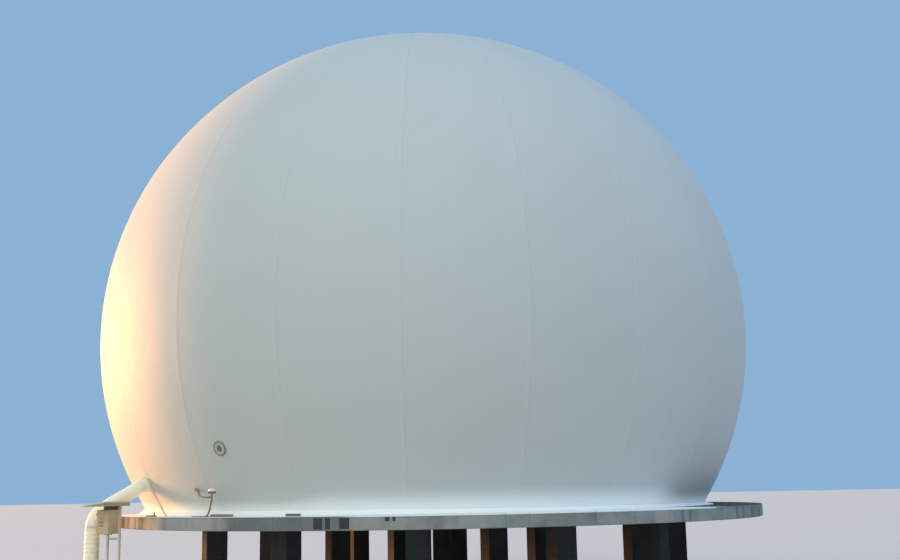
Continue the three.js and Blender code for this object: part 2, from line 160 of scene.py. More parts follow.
class Graph:
    """The nodes of one material, with the places of some sockets on them."""

    OBJECT_POINT = 3
    FIRST_COLOUR = 6
    SECOND_COLOUR = 7
    MIXED_COLOUR = 2
    CLOUD_ROUGHNESS = 0.55

    def __init__(self, name: str) -> None:
        """Starts an empty material.

        Args:
            name: the material's name.
        """
        self.material = bpy.data.materials.new(name)
        self.material.use_nodes = True
        self.tree = self.material.node_tree
        self.tree.nodes.clear()

    def node(
        self, kind: str, settings: dict[str, object], feeds: dict[str | int, object], output: int = 0
    ) -> Wire:
        """Adds a node.

        Args:
            kind: the node's type.
            settings: its settings, such as a Math node's operation, which are set first.
            feeds: the values or wires of its sockets.
            output: which of its outputs to return.

        Returns:
            That output.
        """
        made = self.tree.nodes.new(kind)
        for key, value in settings.items():
            setattr(made, key, value)
        for key, value in feeds.items():
            socket = made.inputs[key]
            if isinstance(value, Wire):
                self.tree.links.new(value.socket, socket)
            elif socket.type == "RGBA":
                socket.default_value = (*value, 1.0)
            else:
                socket.default_value = value
        return Wire(self, made.outputs[output] if made.outputs else None)

    def place(self) -> Wire:
        """The point on the surface, in metres."""
        return self.node("ShaderNodeTexCoord", {}, {}, self.OBJECT_POINT)

    def axes(self) -> tuple[Wire, Wire, Wire]:
        """The point's X, Y and Z."""
        split = self.node("ShaderNodeSeparateXYZ", {}, {0: self.place()}).socket.node
        return tuple(Wire(self, socket) for socket in split.outputs)

    def scaled(self, scale: tuple[float, float, float]) -> Wire:
        """The point with its axes scaled.

        Args:
            scale: the factor on each axis.

        Returns:
            The scaled point.
        """
        return self.node("ShaderNodeVectorMath", {"operation": "MULTIPLY"}, {0: self.place(), 1: scale})

    def clouds(self, scale: float, detail: float = 3.0, at: Wire | None = None) -> Wire:
        """Soft noise from 0 to 1.

        Args:
            scale: cells in a metre.
            detail: how many finer layers it has.
            at: the point to read it at, or none for the surface's own.

        Returns:
            The noise.
        """
        feeds = {"Vector": at or self.place(), "Scale": scale, "Detail": detail}
        feeds["Roughness"] = self.CLOUD_ROUGHNESS
        return self.node("ShaderNodeTexNoise", {"normalize": True}, feeds)

    def cells(self, scale: float, feature: str = "F1") -> Wire:
        """The distance field of scattered cells.

        Args:
            scale: cells in a metre.
            feature: the Voronoi feature.

        Returns:
            The distance.
        """
        feeds = {"Vector": self.place(), "Scale": scale}
        return self.node("ShaderNodeTexVoronoi", {"feature": feature}, feeds)

    def chance(self, value: Wire) -> Wire:
        """A fixed random number for each whole number.

        Args:
            value: the whole number.

        Returns:
            A number from 0 to 1.
        """
        return self.node("ShaderNodeTexWhiteNoise", {"noise_dimensions": "1D"}, {"W": value})

    def mix(self, share: Wire | float, first: Wire | Colour, second: Wire | Colour) -> Wire:
        """Mixes two colours.

        Args:
            share: how much of the second.
            first: the colour at 0.
            second: the colour at 1.

        Returns:
            The mixed colour.
        """
        feeds = {0: share, self.FIRST_COLOUR: first, self.SECOND_COLOUR: second}
        return self.node("ShaderNodeMix", {"data_type": "RGBA"}, feeds, self.MIXED_COLOUR)

    def bump(self, height: Wire, depth: float, under: Wire | None = None) -> Wire:
        """A normal bent by a height.

        Args:
            height: the height, from 0 to 1.
            depth: metres that a height of 1 stands proud.
            under: the normal of the layer below.

        Returns:
            The normal.
        """
        feeds = {"Strength": 1.0, "Distance": depth, "Height": height}
        if under is not None:
            feeds["Normal"] = under
        return self.node("ShaderNodeBump", {}, feeds)

    def finish(self, **feeds: object) -> bpy.types.Material:
        """Ends the material with its shader.

        Args:
            feeds: the shader's sockets, with underscores for spaces.

        Returns:
            The material.
        """
        named = {key.replace("_", " "): value for key, value in feeds.items()}
        shader = self.node("ShaderNodeBsdfPrincipled", {}, named)
        self.node("ShaderNodeOutputMaterial", {}, {"Surface": shader})
        return self.material


@dataclass(frozen=True)
class BallShape:
    """The air-held form: an ellipsoid about an upright axis, made of gores."""

    axis_x: float = -0.34
    radius: float = 7.5
    half_height: float = 7.31
    centre_z: float = 5.95
    gores: int = 20
    first_seam: float = 14.6
    strip_half: float = 0.042

    @property
    def centre(self) -> Vector:
        """The middle of the ball."""
        return Vector((self.axis_x, 0.0, self.centre_z))

    def radius_at(self, z: float) -> float:
        """The radius of the level circle at a height."""
        return self.radius * math.sqrt(1 - ((z - self.centre_z) / self.half_height) ** 2)

    def outward(self, point: Vector) -> Vector:
        """The way straight out of the skin at a point on it.

        Args:
            point: the point on the skin.

        Returns:
            A vector of length 1.
        """
        away = point - self.centre
        wide, tall = self.radius**2, self.half_height**2
        return Vector((away.x / wide, away.y / wide, away.z / tall)).normalized()

    def reach(self, point: Vector) -> float:
        """How far out a point lies, where the skin is at 1."""
        away = point - self.centre
        return math.hypot(away.x / self.radius, away.y / self.radius, away.z / self.half_height)

    def point(self, heading: float, z: float, lift: float = 0.0) -> Vector:
        """A point on the skin, or above it.

        Args:
            heading: degrees from the front.
            z: its height.
            lift: how far it stands off the skin.

        Returns:
            The point.
        """
        turn = math.radians(heading)
        r = self.radius_at(z)
        on_skin = Vector((self.axis_x + r * math.sin(turn), -r * math.cos(turn), z))
        return on_skin + lift * self.outward(on_skin)

    def landed(self, point: Vector, lift: float = 0.0) -> Vector:
        """A nearby point moved onto the skin.

        Args:
            point: the point to move.
            lift: how far it then stands off the skin.

        Returns:
            The moved point.
        """
        on_skin = self.centre + (point - self.centre) / self.reach(point)
        return on_skin + lift * self.outward(on_skin)

    def crossing(self, inside: Vector, outside: Vector) -> Vector:
        """The point where a line leaves the skin, found by halving the line again and again.

        Args:
            inside: the line's end within the ball.
            outside: its other end.

        Returns:
            The point on the skin.
        """
        halvings = 40
        for _ in range(halvings):
            middle = (inside + outside) / 2
            inside, outside = (middle, outside) if self.reach(middle) < 1 else (inside, middle)
        return outside


BALL = BallShape()
UP = Vector((0, 0, 1))
DECK_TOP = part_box("deck_slab")[1].z
DECK_RADIUS = 7.3
RIM_PANELS = 108
RIM_FIRST_JOINT = 1.43
RIM_PANEL = 2 * math.pi * DECK_RADIUS / RIM_PANELS
RIM_PANEL_START = DECK_RADIUS * math.radians(RIM_FIRST_JOINT)
RISER_X = -7.153
RISER_Y = -3.62


@dataclass(frozen=True)
class CoatedFabric:
    """Coated polyester: satin, faintly mottled, with a weave under the coat."""

    name: str
    colour: Colour
    soil: Colour = (0.37, 0.36, 0.31)
    roughness: float = 0.62
    roughness_spread: float = 0.12
    soiling: float = 0.12
    weave_pitch: float = 0.003
    weave_depth: float = 0.00012
    wave_depth: float = 0.012
    sheen: float = 0.05
    glow: float = 0.0
    glow_reach: Colour = (0.3, 0.27, 0.2)
    glow_scale: float = 0.4

    def tone(self, graph: Graph) -> Wire:
        """The fabric's colour with its cloudy soiling.

        Args:
            graph: the material's nodes.

        Returns:
            The colour.
        """
        broad = graph.clouds(0.35, 4.0)
        runs = graph.clouds(1.0, 5.0, graph.scaled((2.2, 2.2, 0.35)))
        share = (broad.step(0.4, 0.75) * 0.6 + runs.step(0.52, 0.8) * 0.4) * self.soiling
        return graph.mix(share, self.colour, self.soil)

    def weave(self, graph: Graph) -> Wire:
        """The normal of the coat over the weave, with slow waves from the welding.

        Args:
            graph: the material's nodes.

        Returns:
            The normal.
        """
        x, y, z = graph.axes()
        turns = 2 * math.pi / self.weave_pitch
        threads = ((x - y) * turns).math("SINE") * (z * turns).math("SINE")
        slow = graph.bump(graph.clouds(0.9, 2.0), self.wave_depth)
        return graph.bump(threads * 0.5 + 0.5, self.weave_depth, slow)

    def build(self) -> bpy.types.Material:
        """Makes the material.

        Returns:
            The finished material.
        """
        graph = Graph(self.name)
        spread = self.roughness_spread
        rough = graph.clouds(6.0) * spread + (self.roughness - spread / 2)
        return graph.finish(
            Base_Color=self.tone(graph), Roughness=rough, Normal=self.weave(graph), Sheen_Weight=self.sheen,
            Subsurface_Weight=self.glow, Subsurface_Radius=self.glow_reach, Subsurface_Scale=self.glow_scale,
        )


@dataclass(frozen=True)
class GoreFabric(CoatedFabric):
    """The ball's fabric, with a lapped weld between each two gores and a pale band of painted light at the
    foot.
    """

    strip: Colour = (0.7, 0.7, 0.66)
    strip_share: float = 0.08
    strip_edge: float = 0.006
    lap_shadow: Colour = (0.26, 0.25, 0.23)
    lap_share: float = 0.12
    lap_half: float = 0.006
    lap_edge: float = 0.008
    gore_share: float = 0.06
    # The pale foot colour is painted light from below, not a cleaner fabric.
    foot: Colour = (0.97, 0.98, 0.97)
    foot_light_reach: tuple[float, float] = (0.42, 0.03)
    foot_light_stretch: tuple[float, float] = (0.8, 0.42)
    foot_light_front: tuple[float, float] = (14.0, 34.0)
    foot_light_front_edge: float = 0.2

    def tone(self, graph: Graph) -> Wire:
        """The fabric's colour with its weld strips and its pale foot, which is painted light.

        Args:
            graph: the material's nodes.

        Returns:
            The colour.
        """
        x, y, z = graph.axes()
        out = x - BALL.axis_x
        radius = (out * out + y * y).math("SQRT")
        heading = out.math("ARCTAN2", 0.0 - y)
        gore = 2 * math.pi / BALL.gores
        from_seam = heading - math.radians(BALL.first_seam)
        aside = from_seam.repeat(gore) * radius
        strip = aside.line(BALL.strip_half, self.strip_edge)
        lap = (aside - BALL.strip_half).line(self.lap_half, self.lap_edge)
        own_tone = graph.chance((from_seam / gore).math("FLOOR"))
        colour = graph.mix(own_tone * self.gore_share, super().tone(graph), self.soil)
        colour = graph.mix(strip * self.strip_share, colour, self.strip)
        colour = graph.mix(lap * self.lap_share, colour, self.lap_shadow)
        # Painted light: a pale band fading up from the deck's top, reaching higher over the front headings.
        middle, half = (math.radians(degrees) for degrees in self.foot_light_front)
        front = (heading - middle).line(half - self.foot_light_front_edge / 2, self.foot_light_front_edge)
        least, more = self.foot_light_stretch
        height = (z - DECK_TOP) / (front * more + least)
        return graph.mix(height.step(*self.foot_light_reach), colour, self.foot)


class Boards(Enum):
    """How the formwork lies on a concrete face."""

    ROUND_RIM = "upright panels round the rim"
    LEVEL = "level lifts up a column"


@dataclass(frozen=True)
class Concrete:
    """Formed concrete with pores, runs and damp."""

    name: str
    pale: Colour
    grey: Colour
    damp: Colour
    boards: Boards = Boards.LEVEL
    board: float = 0.6
    board_start: float = 0.0
    board_tone: float = 0.3
    groove_half: float = 0.003
    groove_edge: float = 0.004
    relief: float = 0.003
    roughness: float = 0.72
    shine: float = 0.08

    def along(self, graph: Graph) -> Wire:
        """The distance across the boards.

        Args:
            graph: the material's nodes.

        Returns:
            The distance in metres.
        """
        x, y, z = graph.axes()
        if self.boards is Boards.LEVEL:
            return z
        return x.math("ARCTAN2", 0.0 - y) * DECK_RADIUS - self.board_start

    def weathered(self, graph: Graph, colour: Wire) -> Wire:
        """Lays runs of damp over the colour."""
        runs = graph.clouds(1.0, 5.0, graph.scaled((5.0, 5.0, 0.7)))
        return graph.mix(runs.step(0.5, 0.75) * 0.7, colour, self.damp)

    def build(self) -> bpy.types.Material:
        """Makes the material.

        Returns:
            The finished material.
        """
        graph = Graph(self.name)
        along = self.along(graph)
        board = graph.chance((along / self.board).math("FLOOR"))
        joint = graph.chance((along / self.board + 0.5).math("FLOOR")).step(0.2, 1.0)
        groove = along.repeat(self.board).line(self.groove_half, self.groove_edge) * joint
        colour = graph.mix(graph.clouds(1.3, 6.0).step(0.35, 0.65), self.grey, self.pale)
        colour = graph.mix(board * self.board_tone, colour, self.pale)
        colour = self.weathered(graph, colour)
        pores = graph.cells(38.0).step(0.2, 0.09) * graph.clouds(4.0).step(0.45, 0.6)
        colour = graph.mix(groove * 0.6, colour, self.damp)
        colour = graph.mix(pores * 0.5, colour, self.damp)
        grain = graph.clouds(26.0, 5.0)
        normal = graph.bump(grain * 0.5 - pores * 0.6 - groove * 0.8, self.relief)
        rough = grain * 0.2 + self.roughness
        return graph.finish(Base_Color=colour, Roughness=rough, Normal=normal, Specular_IOR_Level=self.shine)


@dataclass(frozen=True)
class DeckConcrete(Concrete):
    """The deck's concrete: damp at the left front, stained in places, with painted sunlight and painted
    shadows on the rim's left end, a dark top that is moss and painted shade, and a pale top before the ball's
    foot that is dry concrete and painted light.

    A patch is the heading of its middle, half its width and its share, and a streak is the first two.
    """

    warm: Colour = (0.31, 0.25, 0.23)
    dry_and_painted_light: Colour = (0.9, 0.92, 0.92)
    moss_and_painted_shade: Colour = (0.078, 0.096, 0.087)
    blush_and_sunlight: Colour = (0.6, 0.47, 0.34)
    chalk: Colour = (0.45, 0.45, 0.42)
    silt_and_shadow: Colour = (0.05, 0.05, 0.04)
    # Damp stains; the one at -64.2 is painted shadow on the rim's left end.
    stains_and_shadow: tuple[Patch, ...] = (
        (-24.0, 9.5, 0.55), (-22.5, 2.6, 0.3), (-1.6, 1.6, 0.25), (17.5, 4.8, 0.25), (33.8, 4.4, 0.15),
        (-64.2, 2.0, 0.6),
    )
    # Pale patches; the one at -60.0 is painted sunlight on the rim's left end.
    chalked_and_sunlit: tuple[Patch, ...] = ((-60.0, 2.8, 0.3), (-42.8, 6.8, 0.45), (-9.3, 4.2, 0.25))
    # Pinkish patches; the one at -52.0 is painted sunlight on the rim's left end.
    blushed_and_sunlit: tuple[Patch, ...] = ((-52.0, 3.8, 0.85), (33.5, 1.9, 0.35))
    # Dark patches; the three from -70.0 to -48.6 are painted shadows on the rim's left end.
    silted_and_shaded: tuple[Patch, ...] = (
        (-70.0, 4.4, 1.0), (-55.8, 1.9, 0.4), (-48.6, 1.4, 0.25), (46.5, 2.0, 0.1), (62.5, 10.0, 0.18),
    )
    patch_wander: float = 1.2
    patch_edge: float = 1.4
    streaks: tuple[tuple[float, float], ...] = (
        (37.4, 0.22), (39.15, 0.22), (53.05, 0.3), (55.65, 0.3), (60.55, 0.8), (66.0, 0.35),
    )
    streak_wander: float = 0.4
    streak_edge: float = 0.3
    streak_share: float = 0.55
    rust_share: float = 0.4
    dry_and_painted_light_share: float = 0.85
    dry_and_painted_light_arris: tuple[tuple[float, float], tuple[float, float]] = ((46.5, 45.0), (-100.0, -80.0))
    dry_and_painted_light_top: tuple[tuple[float, float], tuple[float, float]] = ((51.0, 41.0), (-104.0, -80.0))

    def stained(self, graph: Graph, colour: Wire, heading: Wire, fine: Wire) -> Wire:
        """Lays the patches and the streaks round the rim over the colour. Some patches on the rim's left end
        are painted sunlight and painted shadows.

        Args:
            graph: the material's nodes.
            colour: the colour under them.
            heading: the heading in degrees.
            fine: noise that makes their edges wander.

        Returns:
            The stained colour.
        """
        tones = (self.damp, self.chalk, self.blush_and_sunlight, self.silt_and_shadow)
        for tone, places in zip(tones, (self.stains_and_shadow, self.chalked_and_sunlit, self.blushed_and_sunlit, self.silted_and_shaded)):
            for middle, half, share in places:
                aside = heading - middle + fine * self.patch_wander - self.patch_wander / 2
                colour = graph.mix(aside.line(half - 1.0, self.patch_edge) * share, colour, tone)
        for middle, half in self.streaks:
            aside = heading - middle + fine * self.streak_wander - self.streak_wander / 2
            colour = graph.mix(aside.line(half, self.streak_edge) * self.streak_share, colour, self.damp)
        return colour

    def topped(self, graph: Graph, colour: Wire, heading: Wire, height: Wire) -> Wire:
        """Lays a darker band below the top and a pale arris line that is a painted highlight, then a dark top
        that is moss and painted shade, with its pale part before the ball's foot that is dry concrete and
        painted light, over the colour.

        Args:
            graph: the material's nodes.
            colour: the colour under them.
            heading: the heading in degrees.
            height: the height above the deck's top.

        Returns:
            The colour.
        """
        # A darker band a few centimetres below the top.
        colour = graph.mix(height.step(-0.05, -0.02) * 0.25, colour, self.damp)
        # A pale line along the arris: a painted highlight of the lit edge.
        colour = graph.mix(height.step(-0.02, -0.004) * 0.6, colour, self.pale)
        wander = graph.clouds(0.7) * 4.0 - 2.0
        # The front arris and top before the ball's foot: pale dry concrete and painted light over the shade
        # that the overhang and the apron cast there.
        right, back = self.dry_and_painted_light_arris
        dry_and_painted_light = (heading + wander * 0.3).step(*right) * (heading + wander).step(*back)
        arris = height.step(-0.028, -0.016) * heading.step(-15.0, -12.0) + height.step(-0.009, -0.003)
        colour = graph.mix((arris * dry_and_painted_light).math("MINIMUM", 1.0) * self.dry_and_painted_light_share, colour, self.dry_and_painted_light)
        # The top is dark moss and painted shade.
        on_top = height.step(-0.012, 0.0)
        colour = graph.mix(on_top, colour, self.moss_and_painted_shade)
        right, back = self.dry_and_painted_light_top
        ragged = heading + wander * 2.0
        return graph.mix(on_top * (ragged.step(*right) * ragged.step(*back)), colour, self.dry_and_painted_light)

    def weathered(self, graph: Graph, colour: Wire) -> Wire:
        """Lays damp, stains, painted sunlight and shadows, rust, the pale arris line of painted highlight,
        and the top of moss and painted shade with its dry, painted-light part over the colour.

        Args:
            graph: the material's nodes.
            colour: the bare concrete's colour.

        Returns:
            The weathered colour.
        """
        x, y, z = graph.axes()
        heading = x.math("ARCTAN2", 0.0 - y) * (180 / math.pi)
        fine = graph.clouds(1.0, 6.0, graph.scaled((3.0, 3.0, 4.0)))
        colour = graph.mix(fine.step(0.5, 0.72) * 0.35, colour, self.damp)
        colour = self.stained(graph, colour, heading, fine)
        rust = graph.clouds(0.55, 3.0, graph.scaled((1.0, 1.0, 0.2))).step(0.6, 0.75)
        colour = graph.mix(rust * self.rust_share, colour, self.warm)
        return self.topped(graph, colour, heading, z - DECK_TOP)


@dataclass(frozen=True)
class Paint:
    """Painted steel with chalking, and rust in runs and spots where the paint is through."""

    name: str
    colour: Colour
    chalk: Colour
    rust: Colour = (0.2, 0.075, 0.03)
    roughness: float = 0.45
    roughness_spread: float = 0.2
    rusting: float = 0.4
    relief: float = 0.0006

    def build(self) -> bpy.types.Material:
        """Makes the material.

        Returns:
            The finished material.
        """
        graph = Graph(self.name)
        cloudy = graph.clouds(3.0, 5.0)
        colour = graph.mix(cloudy.step(0.4, 0.75) * 0.5, self.colour, self.chalk)
        runs = graph.clouds(1.0, 5.0, graph.scaled((14.0, 14.0, 2.0))).step(0.58, 0.78)
        spots = graph.cells(24.0).step(0.16, 0.04) * graph.clouds(5.0).step(0.5, 0.62)
        worn = (runs * 0.5 + spots) * self.rusting
        colour = graph.mix(worn.math("MINIMUM", 1.0), colour, self.rust)
        spread = self.roughness_spread
        rough = cloudy * spread + (self.roughness - spread / 2) + worn * 0.3
        peel = graph.clouds(160.0, 2.0) * 0.3 - spots * 0.7
        return graph.finish(Base_Color=colour, Roughness=rough, Normal=graph.bump(peel, self.relief))


@dataclass(frozen=True)
class Zinc:
    """Galvanised steel with its spangle."""

    name: str
    tone: Colour
    dull: Colour
    roughness: float = 0.42
    metal: float = 0.85
    relief: float = 0.0003

    def build(self) -> bpy.types.Material:
        """Makes the material.

        Returns:
            The finished material.
        """
        graph = Graph(self.name)
        flakes = graph.cells(60.0, "SMOOTH_F1")
        colour = graph.mix(flakes.step(0.2, 0.8), self.tone, self.dull)
        colour = graph.mix(graph.clouds(4.0, 4.0).step(0.45, 0.7) * 0.6, colour, self.dull)
        rough = flakes * 0.25 + (self.roughness - 0.1)
        normal = graph.bump(flakes, self.relief)
        return graph.finish(Base_Color=colour, Roughness=rough, Metallic=self.metal, Normal=normal)


@dataclass(frozen=True)
class Moulded:
    """A plain moulded finish, such as rubber or clear sheet over a dark inside."""

    name: str
    colour: Colour
    dusty: Colour
    roughness: float
    dust: float
    coat: float = 0.0
    relief: float = 0.0002

    def build(self) -> bpy.types.Material:
        """Makes the material.

        Returns:
            The finished material.
        """
        graph = Graph(self.name)
        settled = graph.clouds(9.0, 4.0).step(0.4, 0.75) * self.dust
        colour = graph.mix(settled, self.colour, self.dusty)
        rough = graph.clouds(30.0) * 0.1 + self.roughness + settled * 0.3
        grain = graph.bump(graph.clouds(220.0, 2.0), self.relief)
        return graph.finish(Base_Color=colour, Roughness=rough, Normal=grain, Coat_Weight=self.coat)


class Palette:
    """Every finish of the holder, built once."""

    def __init__(self) -> None:
        """Builds the materials."""
        self.ball = GoreFabric("ball_fabric", (0.57, 0.59, 0.57)).build()
        self.patch = CoatedFabric("patch_fabric", (0.59, 0.61, 0.58), soiling=0.1).build()
        self.apron = CoatedFabric("apron_fabric", (0.97, 0.98, 0.97), soiling=0.03).build()
        self.inner = CoatedFabric("inner_fabric", (0.69, 0.66, 0.56), roughness=0.6).build()
        grime: Colour = (0.7, 0.58, 0.4)
        self.hose = CoatedFabric("hose_fabric", (0.98, 0.92, 0.74), grime, soiling=0.2, glow=0.85).build()
        self.cuff = CoatedFabric("cuff_fabric", (0.98, 0.9, 0.72), grime, soiling=0.2).build()
        self.deck = DeckConcrete(
            "deck_concrete", (0.31, 0.32, 0.31), (0.24, 0.26, 0.25), (0.11, 0.13, 0.13),
            Boards.ROUND_RIM, RIM_PANEL, RIM_PANEL_START, board_tone=0.12,
        ).build()
        # The columns' colours are darkened far below bare concrete: painted shade from under the deck.
        self.column = Concrete(
            "column_concrete", (0.052, 0.057, 0.061), (0.039, 0.042, 0.045), (0.026, 0.028, 0.03)
        ).build()
        self.zinc = Zinc("zinc", (0.54, 0.57, 0.57), (0.35, 0.37, 0.37)).build()
        self.bolt = Zinc("bolt_steel", (0.52, 0.54, 0.54), (0.33, 0.32, 0.3), 0.5).build()
        self.pale = Paint("beige_paint", (0.63, 0.46, 0.27), (0.68, 0.55, 0.37), rusting=0.3).build()
        self.post = Paint("cream_paint", (0.7, 0.61, 0.47), (0.75, 0.7, 0.57), rusting=0.3).build()
        self.hood = Paint("hood_paint", (0.86, 0.83, 0.75), (0.8, 0.78, 0.72), rusting=0.1).build()
        self.pipe = Paint("pipe_paint", (0.21, 0.17, 0.12), (0.29, 0.25, 0.19), roughness=0.78).build()
        # The stay's tan paint is lightened further as painted sunlight.
        self.stay_painted_sunlit = Paint("stay_painted_sunlight", (0.84, 0.6, 0.4), (0.86, 0.66, 0.47), rusting=0.15).build()
        self.bar = Paint("bar_paint", (0.15, 0.15, 0.12), (0.23, 0.22, 0.17), rusting=0.3).build()
        self.plate = Paint("plate_paint", (0.024, 0.03, 0.03), (0.048, 0.054, 0.054), rusting=0.2).build()
        self.roof = Paint("roof_paint", (0.34, 0.3, 0.2), (0.43, 0.39, 0.28), rusting=0.25).build()
        # Pale paint for the roof's edge strips: painted sunlight.
        self.painted_sunlit_strips = Paint("painted_sunlit_strips_paint", (0.63, 0.63, 0.5), (0.68, 0.68, 0.57), rusting=0.15).build()
        self.dark = Paint("dark_paint", (0.1, 0.079, 0.052), (0.17, 0.14, 0.105), roughness=0.8).build()
        self.blower = Paint("blower_paint", (0.13, 0.21, 0.24), (0.22, 0.29, 0.31), rusting=0.3).build()
        # Painted shade for the louvres' openings.
        self.slot = Moulded("louvre_shade", (0.31, 0.22, 0.11), (0.37, 0.28, 0.17), 0.6, 0.5).build()
        self.rubber = Moulded("rubber", (0.03, 0.03, 0.032), (0.12, 0.11, 0.1), 0.6, 0.5).build()
        self.band = Moulded("window_band", (0.52, 0.51, 0.47), (0.43, 0.41, 0.37), 0.5, 0.5).build()
        self.seal = Moulded("window_seal", (0.23, 0.23, 0.2), (0.3, 0.28, 0.24), 0.6, 0.5).build()
        self.glass = Moulded("window_glass", (0.15, 0.13, 0.11), (0.23, 0.2, 0.17), 0.2, 0.4, 0.4).build()


class Form:
    """Points and faces gathered from several shapes and made into one mesh."""

    def __init__(self) -> None:
        """Starts empty."""
        self.points: list[Vector] = []
        self.faces: list[tuple[int, ...]] = []

    def add(self, points: Iterable[Sequence[float]], faces: Iterable[Sequence[int]], place: Matrix) -> None:
        """Adds a shape.

        Args:
            points: its points.
            faces: its faces, as numbers of its own points.
            place: where it goes.
        """
        start = len(self.points)
        self.points.extend(place @ Vector(point) for point in points)
        self.faces.extend(tuple(start + i for i in face) for face in faces)

    def skin(
        self, rings: Sequence[Ring], closed: bool = False, caps: bool = False, place: Matrix = Matrix()
    ) -> None:
        """Joins rings of like counts into a skin.

        Args:
            rings: the rings in order.
            closed: whether the last ring joins the first.
            caps: whether the end rings are filled.
            place: where it goes.
        """
        count = len(rings[0])
        faces: list[Sequence[int]] = []
        for i in range(len(rings) if closed else len(rings) - 1):
            a, b = i * count, (i + 1) % len(rings) * count
            faces.extend((a + j, a + (j + 1) % count, b + (j + 1) % count, b + j) for j in range(count))
        if caps:
            faces.append(range(count - 1, -1, -1))
            faces.append(range((len(rings) - 1) * count, len(rings) * count))
        self.add([point for ring in rings for point in ring], faces, place)

    def turned(self, profile: Profile, sides: int, place: Matrix = Matrix()) -> None:
        """Adds a body of revolution about Z.

        Args:
            profile: points of radius and height. It closes on itself, or starts and ends on the axis.
            sides: how many sides it has.
            place: where it goes.
        """
        turns = [2 * math.pi * i / sides for i in range(sides)]
        rings = [[(r * math.cos(t), r * math.sin(t), z) for t in turns] for r, z in profile]
        self.skin(rings, closed=profile[0][0] > 0, place=place)

    def ring(self, inner: float, outer: float, low: float, high: float, sides: int, place: Matrix) -> None:
        """Adds a flat ring about Z, or a disc where its inner radius is 0.

        Args:
            inner: its inner radius.
            outer: its outer radius.
            low: the height of its underside.
            high: the height of its top.
            sides: how many sides it has.
            place: where it goes.
        """
        self.turned([(inner, low), (outer, low), (outer, high), (inner, high)], sides, place)

    def block(
        self, size: Sequence[float], centre: Sequence[float], chamfer: float, place: Matrix = Matrix()
    ) -> None:
        """Adds a block with softened edges.

        Args:
            size: its width, depth and height.
            centre: its middle.
            chamfer: how far its edges are cut back.
            place: where it goes.
        """
        body = bmesh.new()
        bmesh.ops.create_cube(body, size=1.0)
        bmesh.ops.scale(body, vec=size, verts=body.verts)
        bmesh.ops.bevel(body, geom=body.edges[:], offset=chamfer, segments=2, profile=0.5, affect="EDGES")
        body.verts.index_update()
        faces = [[v.index for v in face.verts] for face in body.faces]
        self.add([v.co for v in body.verts], faces, place @ Matrix.Translation(centre))
        body.free()

    def tube(self, path: Sequence[Vector], radius: Callable[[float], float], sides: int = 24) -> None:
        """Adds a closed tube along a path.

        Args:
            path: the points of its middle line.
            radius: its radius at each metre along the path.
            sides: how many sides it has.
        """
        rings: list[Ring] = []
        ahead = (path[1] - path[0]).normalized()
        side = ahead.orthogonal().normalized()
        run = 0.0
        for i, point in enumerate(path):
            way = (path[min(i + 1, len(path) - 1)] - path[max(i - 1, 0)]).normalized()
            side = (side - side.dot(way) * way).normalized()
            over = way.cross(side)
            run += (point - path[max(i - 1, 0)]).length
            turns = (2 * math.pi * k / sides for k in range(sides))
            r = radius(run)
            rings.append([tuple(point + r * (math.cos(t) * side + math.sin(t) * over)) for t in turns])
        self.skin(rings, caps=True)

    def hexagon(self, across: float, height: float, place: Matrix) -> None:
        """Adds a nut or bolt head with its round washer face.

        Args:
            across: its width across the corners.
            height: how high it stands.
            place: the middle of its seat.
        """
        r = across / 2
        self.turned([(0, 0), (r, 0), (r, height * 0.85), (r * 0.8, height), (0, height)], 6, place)
        self.ring(0, r * 1.35, 0, height * 0.22, 14, place)

    def made(
        self, name: str, material: bpy.types.Material, slot: Slot, *stands_for: str, sharp: float = 32.0
    ) -> bpy.types.Object:
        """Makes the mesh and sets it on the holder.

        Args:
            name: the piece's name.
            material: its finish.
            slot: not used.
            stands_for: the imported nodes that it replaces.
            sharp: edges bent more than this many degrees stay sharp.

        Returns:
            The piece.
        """
        mesh = bpy.data.meshes.new(name)
        mesh.from_pydata([tuple(point) for point in self.points], [], self.faces)
        body = bmesh.new()
        body.from_mesh(mesh)
        bmesh.ops.remove_doubles(body, verts=body.verts, dist=1e-5)
        bmesh.ops.recalc_face_normals(body, faces=body.faces)
        body.to_mesh(mesh)
        body.free()
        mesh.polygons.foreach_set("use_smooth", [True] * len(mesh.polygons))
        mesh.set_sharp_from_angle(angle=math.radians(sharp))
        mesh.materials.append(material)
        piece = bpy.data.objects.new(name, mesh)
        bpy.context.scene.collection.objects.link(piece)
        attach(piece, BODY)
        if stands_for:
            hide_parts(*stands_for)
        LOG.info("%s: %d faces", name, len(mesh.polygons))
        return piece


def round_at(turn: float, r: float, z: float) -> Point:
    """A point round Z, at a heading in radians."""
    return (r * math.sin(turn), -r * math.cos(turn), z)


def pointed(point: Vector, way: Vector) -> Matrix:
    """The place at a point whose Z lies along a way."""
    return Matrix.Translation(point) @ UP.rotation_difference(way).to_matrix().to_4x4()


def stepped(start: float, span: float, count: int) -> list[float]:
    """Values in even steps from a start over a span, with both of its ends."""
    return [start + span * i / count for i in range(count + 1)]


def circle_places(count: int, radius: float, height: float, first: float = 0.0) -> list[Matrix]:
    """Places spread evenly round Z.

    Args:
        count: how many.
        radius: how far they lie from Z.
        height: how high they lie.
        first: the first one's angle in radians.

    Returns:
        One matrix for each place.
    """
    turns = (first + 2 * math.pi * k / count for k in range(count))
    return [Matrix.Translation((radius * math.cos(t), radius * math.sin(t), height)) for t in turns]


